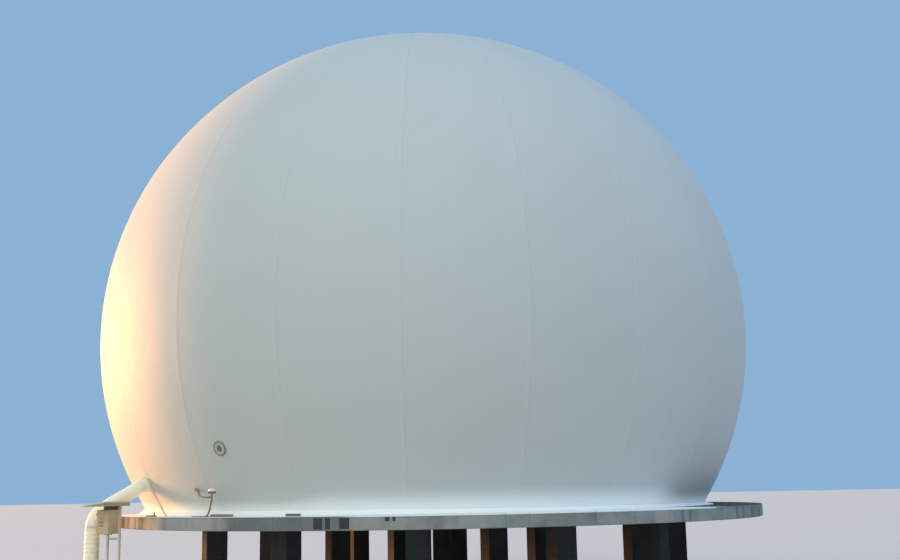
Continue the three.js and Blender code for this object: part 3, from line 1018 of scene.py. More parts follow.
def spline(points: Sequence[Vector], steps: int) -> list[Vector]:
    """A centripetal Catmull-Rom curve through points.

    Args:
        points: the points to pass through.
        steps: how many pieces each span has.

    Returns:
        The points of the curve.
    """
    padded = [2 * points[0] - points[1], *points, 2 * points[-1] - points[-2]]
    made = []
    for i in range(1, len(padded) - 2):
        p0, p1, p2, p3 = padded[i - 1 : i + 3]
        d0, d1, d2 = ((b - a).length ** 0.5 for a, b in ((p0, p1), (p1, p2), (p2, p3)))
        m1 = ((p1 - p0) / d0 - (p2 - p0) / (d0 + d1) + (p2 - p1) / d1) * d1
        m2 = ((p2 - p1) / d1 - (p3 - p1) / (d1 + d2) + (p3 - p2) / d2) * d1
        for k in range(steps):
            t = k / steps
            a, b = 2 * t**3 - 3 * t**2 + 1, t**3 - 2 * t**2 + t
            c, d = 3 * t**2 - 2 * t**3, t**3 - t**2
            made.append(a * p1 + b * m1 + c * p2 + d * m2)
    return [*made, points[-1].copy()]


def carry(node: str, material: bpy.types.Material, slot: Slot, softening: float = 0.0) -> None:
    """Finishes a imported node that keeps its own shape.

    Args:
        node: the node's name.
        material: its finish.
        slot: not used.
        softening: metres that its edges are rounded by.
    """
    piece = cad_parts[node]
    piece.data.materials.clear()
    piece.data.materials.append(material)
    if softening:
        soft = piece.modifiers.new("soft_edges", "BEVEL")
        soft.width = softening
        soft.segments = 2
        soft.limit_method = "ANGLE"


@dataclass
class Assembly:
    """A sub-assembly, which takes its finishes from the palette."""

    palette: Palette


@dataclass
class Membranes(Assembly):
    """The ball's outer skin with its crown patch, and the gas bag and floor inside.

    A layer of the patch is its share of the radius and how far its two faces lie off the skin.
    """

    rows: int = 130
    inner_rows: int = 32
    columns: int = 10
    thickness: float = 0.004
    weld_height: float = 0.0015
    weld_edge: float = 0.004
    pillow: float = 0.004
    crown_hole: float = 0.6
    cap_radius: float = 0.78
    cap_sides: int = 120
    cap_rings: int = 12
    cap_layers: tuple[tuple[float, float, float], ...] = ((1.0, 0.002, 0.006), (0.42, 0.005, 0.009))

    def columns_at(self, r: float) -> list[tuple[float, float]]:
        """The headings of a level ring's points.

        Args:
            r: the ring's radius.

        Returns:
            Each point's heading and its lift off the ball.
        """
        step = 360 / BALL.gores
        edge = math.degrees(BALL.strip_half / r)
        foot = math.degrees((BALL.strip_half + self.weld_edge) / r)
        made = []
        for gore in range(BALL.gores):
            seam = BALL.first_seam + gore * step
            made += [(seam - foot, 0.0), (seam - edge, self.weld_height)]
            made += [(seam + edge, self.weld_height), (seam + foot, 0.0)]
            for k in range(1, self.columns):
                share = k / self.columns
                lift = self.pillow * math.sin(math.pi * share)
                made.append((seam + foot + share * (step - 2 * foot), lift))
        return made

    def ring(self, rise: float, offset: float) -> Ring:
        """One level ring of the skin.

        Args:
            rise: the angle up from the ball's middle, in radians.
            offset: how far the ring lies off the ball.

        Returns:
            The ring's points.
        """
        r = BALL.radius * math.cos(rise)
        z = BALL.centre_z + BALL.half_height * math.sin(rise)
        lifted = offset == 0.0
        return [tuple(BALL.point(h, z, lift if lifted else offset)) for h, lift in self.columns_at(r)]

    def build(self) -> None:
        """Makes the skin and the patch, and finishes what lies inside."""
        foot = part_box("outer_membrane")[0].z
        first = math.asin((foot - BALL.centre_z) / BALL.half_height)
        last = math.acos(self.crown_hole / BALL.radius)
        rings = [self.ring(rise, 0.0) for rise in stepped(first, last - first, self.rows)]
        rings += [self.ring(rise, -self.thickness) for rise in stepped(last, first - last, self.inner_rows)]
        form = Form()
        form.skin(rings, closed=True)
        form.made("ball_skin", self.palette.ball, Slot.FABRIC, "outer_membrane", sharp=12)
        self.crown()
        carry("inner_membrane", self.palette.inner, Slot.INNER)
        carry("floor_membrane", self.palette.inner, Slot.INNER)

    def crown(self) -> None:
        """Makes the round patch over the ends of the gores, with a smaller doubler on it."""
        form = Form()
        place = Matrix.Translation((BALL.axis_x, 0, 0))

        def height(r: float) -> float:
            """The skin's height at a distance from the axis."""
            return BALL.centre_z + BALL.half_height * math.sqrt(1 - (r / BALL.radius) ** 2)

        for share, low, high in self.cap_layers:
            edge = self.cap_radius * share
            radii = stepped(0.0, edge, self.cap_rings)
            under = [(r, height(r) + low) for r in radii]
            over = [(r, height(r) + (high if r < edge else (low + high) / 2)) for r in reversed(radii)]
            form.turned(under + over, self.cap_sides, place)
        form.made("crown_patch", self.palette.patch, Slot.PATCH, "crown_cap")


@dataclass
class Foot(Assembly):
    """What holds the ball down: a double band, the apron over the clamp, the clamp bars and their bolts."""

    bolts: int = 160
    points_each: int = 4
    bolt_across: float = 0.026
    bolt_rise: float = 0.007
    band_height: float = 0.2
    band_rows: int = 8
    band_lift: float = 0.004
    band_under: float = -0.001
    pucker: float = 0.003
    pucker_fade: float = 0.07
    hem_inner: float = 6.3
    hem_outer: float = 6.52
    hem_thickness: float = 0.012
    hem_sides: int = 240
    apron_outer: float = 6.58
    apron_height: float = 0.092
    apron_lean: float = 0.028
    apron_sheet: float = 0.003
    apron_rows: int = 8
    apron_lift: float = 0.0035
    apron_ripple: float = 0.0015
    ripples: int = 5
    ripple_counts: tuple[int, int] = (25, 95)
    ripple_strengths: tuple[float, float] = (0.2, 0.5)
    apron_dimple: float = 0.0015
    apron_gap: float = 0.007
    apron_tuck: float = 0.006
    apron_bow: float = 0.25
    bar_inner: float = 6.4
    bar_outer: float = 6.5
    bar_height: float = 0.016
    bar_chamfer: float = 0.003
    bars: int = 20
    bar_steps: int = 24
    bar_gap: float = 0.01

    def headings(self, count: int) -> list[float]:
        """Headings spread evenly round the foot."""
        return [360 * i / count for i in range(count)]

    def flat(self, heading: float, r: float, z: float) -> Point:
        """A point round the ball's axis, at a heading in degrees."""
        x, y, z = round_at(math.radians(heading), r, z)
        return (BALL.axis_x + x, y, z)

    def build(self) -> None:
        """Makes the band, the apron, the bars and the bolts."""
        self.band()
        self.apron()
        self.clamps()

    def band(self) -> None:
        """Makes the double band of fabric round the foot, puckered between the bolts."""
        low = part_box("outer_membrane")[0].z
        around = self.headings(self.bolts * self.points_each)
        rings: list[Ring] = []
        for lift in (self.band_lift, self.band_under):
            heights = stepped(low, self.band_height, self.band_rows)
            for z in heights if lift > 0 else reversed(heights):
                fade = math.exp(-(z - low) / self.pucker_fade) * self.pucker if lift > 0 else 0.0
                waves = (fade * math.cos(math.radians(h * self.bolts)) for h in around)
                rings.append([tuple(BALL.point(h, z, lift + wave)) for h, wave in zip(around, waves)])
        form = Form()
        form.skin(rings, closed=True)
        # The band takes the ball's fabric, so its pale foot is painted light.
        form.made("foot_band", self.palette.ball, Slot.FABRIC)

    def apron_point(
        self, heading: float, up: float, sheet: float, waves: list[tuple[int, float, float]]
    ) -> Point:
        """A point on the apron.

        Args:
            heading: degrees from the front.
            up: 0 at the apron's edge and 1 at the ball.
            sheet: how far it lies behind the outer face.
            waves: the ripples' counts round the foot, their starts and their strengths.

        Returns:
            The point.
        """
        turn = math.radians(heading)
        top = self.apron_height - self.apron_lean * math.sin(turn)
        ripple = 0.5 + sum(a * math.sin(n * turn + p) for n, p, a in waves) / 3
        dimple = self.apron_dimple * math.sin(math.pi * up) * math.cos(self.bolts * turn)
        lift = self.apron_lift + self.apron_ripple * (1 - up) ** 2 * max(0.0, ripple) + dimple - sheet
        inner = BALL.radius_at(DECK_TOP + top) + self.apron_gap
        r = self.apron_outer + (inner - self.apron_outer) * up - sheet
        bow = 1 + self.apron_bow - self.apron_bow * up
        return self.flat(heading, r, DECK_TOP + lift + (top - self.apron_tuck) * up * bow)

    def apron(self) -> None:
        """Makes the hem on the deck and the apron over it, fuller at the left, its edge lying on the deck."""
        rng = random.Random(7)
        waves = [
            (rng.randint(*self.ripple_counts), rng.uniform(0, 6.28), rng.uniform(*self.ripple_strengths))
            for _ in range(self.ripples)
        ]
        around = self.headings(self.bolts * self.points_each)
        rings: list[Ring] = []
        for sheet in (0.0, self.apron_sheet):
            for i in range(self.apron_rows + 1):
                up = i / self.apron_rows if sheet == 0.0 else 1 - i / self.apron_rows
                rings.append([self.apron_point(heading, up, sheet, waves) for heading in around])
        form = Form()
        form.skin(rings, closed=True)
        place = Matrix.Translation((BALL.axis_x, 0, DECK_TOP))
        form.ring(self.hem_inner, self.hem_outer, 0, self.hem_thickness, self.hem_sides, place)
        form.made("foot_apron", self.palette.apron, Slot.PATCH, "foot_hem", sharp=60)

    def clamps(self) -> None:
        """Makes the clamp bars and the low bolt heads along them, all under the apron."""
        seat = DECK_TOP + self.hem_thickness
        top = seat + self.bar_height
        form = Form()
        span = 360 / self.bars
        gap = math.degrees(self.bar_gap / self.bar_inner)
        inner, outer, c = self.bar_inner, self.bar_outer, self.bar_chamfer
        section = [(inner, seat), (outer, seat), (outer, top - c), (outer - c, top)]
        section += [(inner + c, top), (inner, top - c)]
        for bar in range(self.bars):
            start = bar * span + gap
            stops = stepped(start, span - gap, self.bar_steps)
            form.skin([[self.flat(h, r, z) for r, z in section] for h in stops], caps=True)
        form.made("clamp_bars", self.palette.zinc, Slot.ZINC, "clamp_ring")
        bolts = Form()
        middle = (inner + outer) / 2
        for heading in self.headings(self.bolts):
            place = Matrix.Translation(self.flat(heading + 180 / self.bolts, middle, top))
            bolts.hexagon(self.bolt_across, self.bolt_rise, place)
        bolts.made("clamp_bolts", self.palette.bolt, Slot.ZINC)


@dataclass
class Deck(Assembly):
    """The round slab, cast against upright panels with a few plates set in its rim, and its columns."""

    thickness: float = 0.255
    chamfer: float = 0.012
    margin: float = 0.15
    rim_levels: int = 5
    wander: float = 0.002
    panel_shift: float = 0.0012
    groove: float = 0.003
    groove_width: float = 0.004
    column_chamfer: float = 0.02
    column_levels: int = 18
    column_wander: float = 0.0015
    lift_levels: int = 6
    lift_mark: float = 0.997
    recess: float = 0.022
    recess_lip: float = 0.0006
    recess_step: float = 0.002
    plate: float = 0.008
    plate_gap: float = 0.006
    plate_seat: float = 0.002
    plate_rows: int = 6
    stud_across: float = 0.012
    stud_rise: float = 0.006
    stud_inset: float = 0.015
    tall: tuple[float, float] = (-0.035, -0.23)
    short: tuple[float, float] = (-0.025, -0.1)
    tall_plates: tuple[tuple[float, float], ...] = ((-18.9, -17.55), (-17.1, -16.4), (-15.05, -13.6))
    short_plates: tuple[tuple[float, float], ...] = ((-8.5, -7.95), (-7.45, -7.12))

    def build(self) -> None:
        """Makes the slab, the plates in its rim and every column."""
        self.slab()
        self.plates()
        for node in sorted(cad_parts):
            if node.startswith("column_"):
                self.column(node)

    def recesses(self) -> list[tuple[float, float, float, float]]:
        """Where the rim is set back for a plate.

        Returns:
            Each recess's first and last heading, in radians, and its top and bottom.
        """
        spans = [(*span, *self.tall) for span in self.tall_plates]
        spans += [(*span, *self.short) for span in self.short_plates]
        turns = [(math.radians(first), math.radians(last)) for first, last, _, _ in spans]
        return [(*turn, DECK_TOP + high, DECK_TOP + low) for turn, (_, _, high, low) in zip(turns, spans)]

    def set_back(self, turn: float, z: float) -> float:
        """How far the rim is set back at a point.

        Args:
            turn: its heading in radians.
            z: its height.

        Returns:
            The depth of the recess there.
        """
        inside = any(a < turn < b and low < z < high for a, b, high, low in self.recesses())
        return self.recess if inside else 0.0

    def around(self) -> list[tuple[float, float]]:
        """Where the slab's edge has points.

        Returns:
            Each point's heading in radians, and how far it stands proud.
        """
        rng = random.Random(11)
        made: list[tuple[float, float]] = []
        step = 2 * math.pi / RIM_PANELS
        edge = self.groove_width / DECK_RADIUS
        start = RIM_PANEL_START / DECK_RADIUS - math.pi
        for panel in range(RIM_PANELS):
            proud = rng.uniform(-self.panel_shift, self.panel_shift)
            turn = start + panel * step
            made.append((turn, -self.groove * rng.uniform(0.1, 1.0)))
            made += [(at, proud) for at in stepped(turn + edge, step - 2 * edge, 3)]
        for first, last, _, _ in self.recesses():
            made += [(turn + side * self.recess_lip, 0.0) for turn in (first, last) for side in (-1, 1)]
        return sorted(made)

    def rows(self) -> list[tuple[float, float, float]]:
        """The slab's profile, from the middle of its top to the middle of its underside.

        Returns:
            Each point's radius and height, and its share of the rim's unevenness.
        """
        top, low, c = DECK_TOP, DECK_TOP - self.thickness, self.chamfer
        face = self.thickness - 2 * c
        levels = set(stepped(top - c, -face, self.rim_levels))
        for z in {z for recess in self.recesses() for z in recess[2:]}:
            levels |= {z - self.recess_step, z + self.recess_step}
        inset = DECK_RADIUS - self.margin
        made = [(0.0, top, 0.0), (3.0, top, 0.0), (6.0, top, 0.0), (inset, top, 0.0)]
        made += [(DECK_RADIUS - c, top, 0.3), (DECK_RADIUS - c * 0.3, top - c * 0.3, 0.8)]
        made += [(DECK_RADIUS, z, 1.0) for z in sorted(levels, reverse=True)]
        return made + [(DECK_RADIUS - c, low, 0.3), (inset, low, 0.0), (4.0, low, 0.0), (0.0, low, 0.0)]

    def slab(self) -> None:
        """Makes the slab with a joint between each two panels of its rim and a recess for each plate."""
        around = self.around()
        rings: list[Ring] = []
        for r, z, share in self.rows():
            ring = []
            for turn, proud in around:
                spot = Vector((math.cos(turn) * 9, math.sin(turn) * 9, z * 4))
                wander = self.wander * noise.noise(spot) * share
                back = self.set_back(turn, z) if share == 1.0 else 0.0
                ring.append(round_at(turn, r + proud * share + wander - back, z))
            rings.append(ring)
        form = Form()
        form.skin(rings)
        form.made("deck_casting", self.palette.deck, Slot.DECK, "deck_slab", sharp=40)

    def plates(self) -> None:
        """Makes the dark plates in the rim's recesses, with a stud at each corner."""
        form = Form()
        studs = Form()
        seat = DECK_RADIUS - self.recess - self.plate_seat
        for a, b, high, low in self.recesses():
            turns = [a + (b - a) * share for share in stepped(0.04, 0.92, self.plate_rows)]
            top, bottom = high - self.plate_gap, low + self.plate_gap
            rings = []
            for turn in turns:
                corners = ((seat, bottom), (seat + self.plate, bottom), (seat + self.plate, top), (seat, top))
                rings.append([round_at(turn, r, z) for r, z in corners])
            form.skin(rings, caps=True)
            for turn in (turns[1], turns[-2]):
                for z in (top - self.stud_inset, bottom + self.stud_inset):
                    way = Vector(round_at(turn, 1, 0))
                    place = pointed(way * (seat + self.plate) + z * UP, way)
                    studs.hexagon(self.stud_across, self.stud_rise, place)
        form.made("rim_plates", self.palette.plate, Slot.DARK)
        studs.made("rim_plate_studs", self.palette.plate, Slot.DARK)

    def column(self, node: str) -> None:
        """Makes one square column with cut corners and the marks of its formwork lifts.

        Args:
            node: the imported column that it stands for.
        """
        low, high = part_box(node)
        centre = (low + high) / 2
        turn = math.atan2(centre.x, -centre.y) if centre.xy.length > 0.1 else 0.0
        spread = (high.x - low.x) / (abs(math.cos(turn)) + abs(math.sin(turn)))
        half, c = spread / 2, self.column_chamfer
        corners = [(half, c - half), (half, half - c), (half - c, half), (c - half, half)]
        corners += [(-half, half - c), (-half, c - half), (c - half, -half), (half - c, -half)]
        rings: list[Ring] = []
        for i, z in enumerate(stepped(low.z, high.z - low.z, self.column_levels)):
            joint = self.lift_mark if i % self.lift_levels == self.lift_levels / 2 else 1.0
            shift = self.column_wander * noise.noise(Vector((centre.x, centre.y, z * 1.7)))
            rings.append([(x * joint + shift, y * joint - shift, z) for x, y in corners])
        form = Form()
        place = Matrix.Translation((centre.x, centre.y, 0)) @ Matrix.Rotation(turn, 4, "Z")
        form.skin(rings, caps=True, place=place)
        form.made("cast_" + node, self.palette.column, Slot.COLUMN, node)


@dataclass
class SightWindow(Assembly):
    """The round window in the ball's left front, bolted through the skin."""

    heading: float = -33.6
    z: float = 3.313
    flange: float = 0.147
    rim: float = 0.122
    pane: float = 0.067
    sides: int = 64
    screws: int = 16
    screw_seat: float = 0.0195
    screw_across: float = 0.009
    screw_rise: float = 0.004

    def build(self) -> None:
        """Makes the rubber flange, the clear band, the pane and the screws."""
        point = BALL.point(self.heading, self.z)
        place = pointed(point, BALL.outward(point))
        sides = self.sides
        outer = Form()
        ring = [(self.rim, -0.004), (self.flange, -0.004), (self.flange, 0.016), (self.flange - 0.004, 0.02)]
        ring += [(self.rim + 0.012, 0.02), (self.rim + 0.009, 0.024), (self.rim, 0.024)]
        outer.turned(ring, sides, place)
        outer.made("window_flange", self.palette.seal, Slot.FRAME, "sight_window_frame")
        band = Form()
        inner, edge = self.pane - 0.002, self.rim + 0.002
        clear = [(inner, 0.0), (edge, 0.0), (edge, 0.016), (inner + 0.008, 0.021), (inner, 0.02)]
        band.turned(clear, sides, place)
        band.made("window_band", self.palette.band, Slot.FRAME)
        pane = Form()
        rises = (math.radians(9 * k) for k in range(11))
        dome = [(self.pane * math.cos(rise), 0.01 + 0.012 * math.sin(rise)) for rise in rises]
        pane.turned([(0, 0.0), (self.pane, 0.0), *dome, (0, 0.022)], sides, place)
        pane.made("window_pane", self.palette.glass, Slot.GLASS, "sight_window_glass")
        screws = Form()
        seat = (self.flange + self.rim + 0.008) / 2
        for spot in circle_places(self.screws, seat, self.screw_seat):
            screws.hexagon(self.screw_across, self.screw_rise, place @ spot)
        screws.made("window_screws", self.palette.seal, Slot.FRAME)


@dataclass
class AirDuct(Assembly):
    """The hose that brings the support air: riser, bend, sleeve and the cuff on the ball.

    A step of the doubler's section is a share of its width, and its lift off the skin.
    """

    riser_top: float = 1.85
    riser_foot: float = 0.7
    riser_radius: float = 0.15
    riser_rows: int = 184
    rib_pitch: float = 0.085
    rib_height: float = 0.013
    rib_fullness: float = 0.7
    sides: int = 40
    sleeve_radius: float = 0.138
    route_steps: int = 16
    cuff_radius: float = 0.163
    cuff_length: float = 0.1
    cuff_inside: float = 0.12
    cuff_rows: int = 20
    doubler_width: float = 0.17
    doubler_sides: int = 64
    doubler_section: tuple[tuple[float, float], ...] = (
        (0.0, 0.005), (0.4, 0.005), (0.8, 0.005), (1.0, 0.003), (1.0, -0.0006), (0.4, -0.001), (0.0, -0.001),
    )

    def route(self) -> list[Vector]:
        """The sleeve's middle line.

        Returns:
            Its points, from inside the ball to the top of the riser.
        """
        held = [
            (-5.99, -3.43, 2.79), (-6.53, -3.56, 2.465), (-6.86, -3.6, 2.265), (-7.075, -3.618, 2.085),
            (-7.148, RISER_Y, 1.93), (RISER_X, RISER_Y, self.riser_top),
        ]
        return spline([Vector(point) for point in held], self.route_steps)

    def mouth(self, route: list[Vector]) -> tuple[Vector, Vector]:
        """Where the sleeve leaves the ball.

        Args:
            route: the sleeve's middle line.

        Returns:
            The point on the skin, and the sleeve's way out there.
        """
        inside, outside = route[0], route[self.route_steps]
        return BALL.crossing(inside, outside), (outside - inside).normalized()

    def build(self) -> None:
        """Makes the riser, the sleeve, the cuff, its doubler on the ball and the bands."""
        route = self.route()
        mouth, way = self.mouth(route)
        self.riser()
        self.sleeve(route)
        self.cuff(mouth, way)
        self.doubler(mouth, way)
        self.bands(mouth, way)

    def riser(self) -> None:
        """Makes the upright hose, which swells between its wires."""

        def ribbed(run: float) -> float:
            """The riser's radius."""
            swell = abs(math.cos(math.pi * run / self.rib_pitch)) ** self.rib_fullness
            return self.riser_radius - self.rib_height * (1 - swell)

        heights = stepped(self.riser_foot, self.riser_top - self.riser_foot, self.riser_rows)
        form = Form()
        form.tube([Vector((RISER_X, RISER_Y, z)) for z in heights], ribbed, self.sides)
        form.made("hose_riser", self.palette.hose, Slot.HOSE, "duct_riser")

    def sleeve(self, route: list[Vector]) -> None:
        """Makes the fabric sleeve from the riser to the ball.

        Args:
            route: its middle line.
        """

        def slack(run: float) -> float:
            """The sleeve's radius, with slow slack waves in its fabric."""
            return self.sleeve_radius * (1 + 0.012 * math.sin(run * 21) + 0.008 * math.sin(run * 47 + 1))

        form = Form()
        form.tube(route, slack, self.sides)
        form.made("hose_sleeve", self.palette.hose, Slot.HOSE, "air_sleeve")

    def cuff(self, mouth: Vector, way: Vector) -> None:
        """Makes the cuff round the sleeve.

        Args:
            mouth: where the sleeve leaves the ball.
            way: its way out there.
        """

        def drawn_in(run: float) -> float:
            """The cuff's radius, slightly waved and drawn in at its end."""
            return self.cuff_radius + 0.004 * math.sin(run * 60) - 0.01 * max(0, run - 0.19) / 0.03

        start = mouth - self.cuff_inside * way
        whole = self.cuff_length + self.cuff_inside
        form = Form()
        path = [start + way * whole * i / self.cuff_rows for i in range(self.cuff_rows + 1)]
        form.tube(path, drawn_in, self.sides)
        form.made("inlet_cuff", self.palette.cuff, Slot.PATCH, "air_inlet_cuff")

    def doubler(self, mouth: Vector, way: Vector) -> None:
        """Makes the round doubler that is welded to the ball round the cuff.

        Args:
            mouth: where the sleeve leaves the ball.
            way: its way out there.
        """
        normal = BALL.outward(mouth)
        side = way.cross(normal).normalized()
        along = normal.cross(side)
        lean = 1 / abs(way.dot(normal))
        turns = [2 * math.pi * k / self.doubler_sides for k in range(self.doubler_sides)]
        rings: list[Ring] = []
        for share, lift in self.doubler_section:
            r = self.cuff_radius * 0.9 + share * self.doubler_width
            flat = (mouth + r * (math.cos(t) * side + math.sin(t) * lean * along) for t in turns)
            rings.append([tuple(BALL.landed(point, lift)) for point in flat])
        form = Form()
        form.skin(rings, closed=True)
        form.made("inlet_doubler", self.palette.ball, Slot.PATCH)

    def bands(self, mouth: Vector, way: Vector) -> None:
        """Makes the bands round the riser's foot and the cuff, each with its fastener.

        Args:
            mouth: where the sleeve leaves the ball.
            way: its way out there.
        """
        foot = Vector((RISER_X, RISER_Y, self.riser_foot + 0.04))
        seats = ((foot, UP, self.riser_radius + 0.001), (mouth + 0.06 * way, way, self.cuff_radius + 0.002))
        form = Form()
        for centre, axis, r in seats:
            place = pointed(centre, axis)
            form.ring(r - 0.004, r + 0.003, -0.01, 0.01, 48, place)
            form.block((0.03, 0.018, 0.016), (r + 0.01, 0, 0), 0.002, place)
        form.made("hose_bands", self.palette.cuff, Slot.HOSE)


@dataclass
class Blower(Assembly):
    """The support-air blower on the ground under the riser."""

    shaft_x: float = 0.15
    shaft_z: float = 0.33
    half_width: float = 0.13
    casing_radius: float = 0.28
    motor_radius: float = 0.12
    motor_length: float = 0.32
    inlet_radius: float = 0.14
    ring_inset: float = 0.003
    bolt_across: float = 0.018
    bolt_rise: float = 0.008
    outlet_circle: float = 0.152
    outlet_flange: float = 0.66
    skid_top: float = 0.05

    @property
    def place(self) -> Matrix:
        """The foot of the riser's axis."""
        return Matrix.Translation((RISER_X, RISER_Y, 0))

    def build(self) -> None:
        """Makes the casing, the motor, the inlet, the outlet and the skid."""
        carry("blower_scroll", self.palette.blower, Slot.BLOWER, 0.004)
        carry("blower_outlet", self.palette.blower, Slot.BLOWER, 0.003)
        self.casing()
        self.motor()
        self.inlet()
        self.skid()

    def facing(self, y: float) -> Matrix:
        """A place on the shaft whose Z points to the front."""
        shaft = Matrix.Translation((self.shaft_x, y, self.shaft_z))
        return self.place @ shaft @ Matrix.Rotation(math.pi / 2, 4, "X")

    def casing(self) -> None:
        """Makes the casing's two angle rings, and the bolts of the front one and of the outlet."""
        form = Form()
        r = self.casing_radius
        front = self.facing(self.ring_inset - self.half_width)
        back = self.facing(self.half_width - self.ring_inset)
        form.ring(r * 0.86, r * 0.93, 0, 0.008, 48, front)
        for spot in circle_places(14, r * 0.895, 0.008):
            form.hexagon(self.bolt_across, self.bolt_rise, front @ spot)
        form.ring(r * 0.86, r * 0.93, 0, 0.008, 48, back)
        for spot in circle_places(8, self.outlet_circle, self.outlet_flange, 0.2):
            form.hexagon(self.bolt_across, self.bolt_rise, self.place @ spot)
        form.made("casing_fixings", self.palette.bolt, Slot.ZINC)

    def motor(self) -> None:
        """Makes the finned motor with its feet, fan cowl and terminal box."""
        form = Form()
        place = self.place @ Matrix.Translation((self.shaft_x, self.half_width, self.shaft_z))
        place = place @ Matrix.Rotation(-math.pi / 2, 4, "X")
        r, length = self.motor_radius, self.motor_length
        core = r * 0.82
        body = [(0, 0), (r * 0.9, 0), (r * 0.9, 0.03), (core, 0.04)]
        body += [(core, length * 0.72), (0, length * 0.72)]
        form.turned(body, 32, place)
        cowl = [(0, length * 0.7), (r, length * 0.7), (r, length * 0.93), (r * 0.8, length), (0, length)]
        form.turned(cowl, 32, place)
        for k in range(28):
            turn = Matrix.Rotation(2 * math.pi * k / 28, 4, "Z")
            fin = (r * 0.16, 0.004, length * 0.64)
            form.block(fin, (core + r * 0.07, 0, length * 0.38), 0.001, place @ turn)
        form.block((0.09, 0.05, 0.11), (0, -(r + 0.012), length * 0.4), 0.006, place)
        low, high = self.skid_top, self.shaft_z - core * 0.7
        drop = high - low
        for side in (-1, 1):
            at = (self.shaft_x + side * r * 0.62, self.half_width + length * 0.4, (low + high) / 2)
            form.block((0.04, length * 0.5, drop), at, 0.004, self.place)
        form.made("finned_motor", self.palette.blower, Slot.BLOWER, "blower_motor")

    def inlet(self) -> None:
        """Makes the flared inlet with its wire guard."""
        form = Form()
        place = self.facing(-self.half_width - 0.0003)
        r = self.inlet_radius
        bell = [(r - 0.02, 0), (r, 0), (r + 0.004, 0.03), (r + 0.02, 0.055), (r + 0.02, 0.06)]
        bell += [(r + 0.014, 0.06), (r - 0.004, 0.045), (r - 0.02, 0.02)]
        form.turned(bell, 48, place)
        form.made("inlet_bell", self.palette.zinc, Slot.ZINC, "blower_inlet")
        guard = Form()
        for k in range(5):
            ring = 0.02 + (r - 0.01) * k / 4.6
            guard.ring(ring - 0.002, ring + 0.002, 0.054, 0.058, 40, place)
        for k in range(3):
            turn = Matrix.Rotation(math.pi * k / 3, 4, "Z")
            guard.block((2 * r, 0.004, 0.004), (0, 0, 0.056), 0.001, place @ turn)
        guard.made("inlet_guard", self.palette.bolt, Slot.ZINC)

    def skid(self) -> None:
        """Makes the skid as two long bars and three cross bars on four feet."""
        low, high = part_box("blower_skid")
        middle = (low + high) / 2
        form = Form()
        width, depth = high.x - low.x, high.y - low.y
        for x in (low.x + 0.05, high.x - 0.05):
            form.block((0.1, depth, 0.036), (x, middle.y, 0.032), 0.003)
        for y in (low.y + 0.05, middle.y, high.y - 0.05):
            form.block((width - 0.02, 0.08, 0.03), (middle.x, y, 0.033), 0.003)
        for x in (low.x + 0.05, high.x - 0.05):
            for y in (low.y + 0.08, high.y - 0.08):
                foot = Matrix.Translation((x, y, 0))
                form.turned([(0, 0), (0.04, 0), (0.035, 0.016), (0, 0.016)], 20, foot)
        form.made("skid_frame", self.palette.dark, Slot.DARK, "blower_skid")


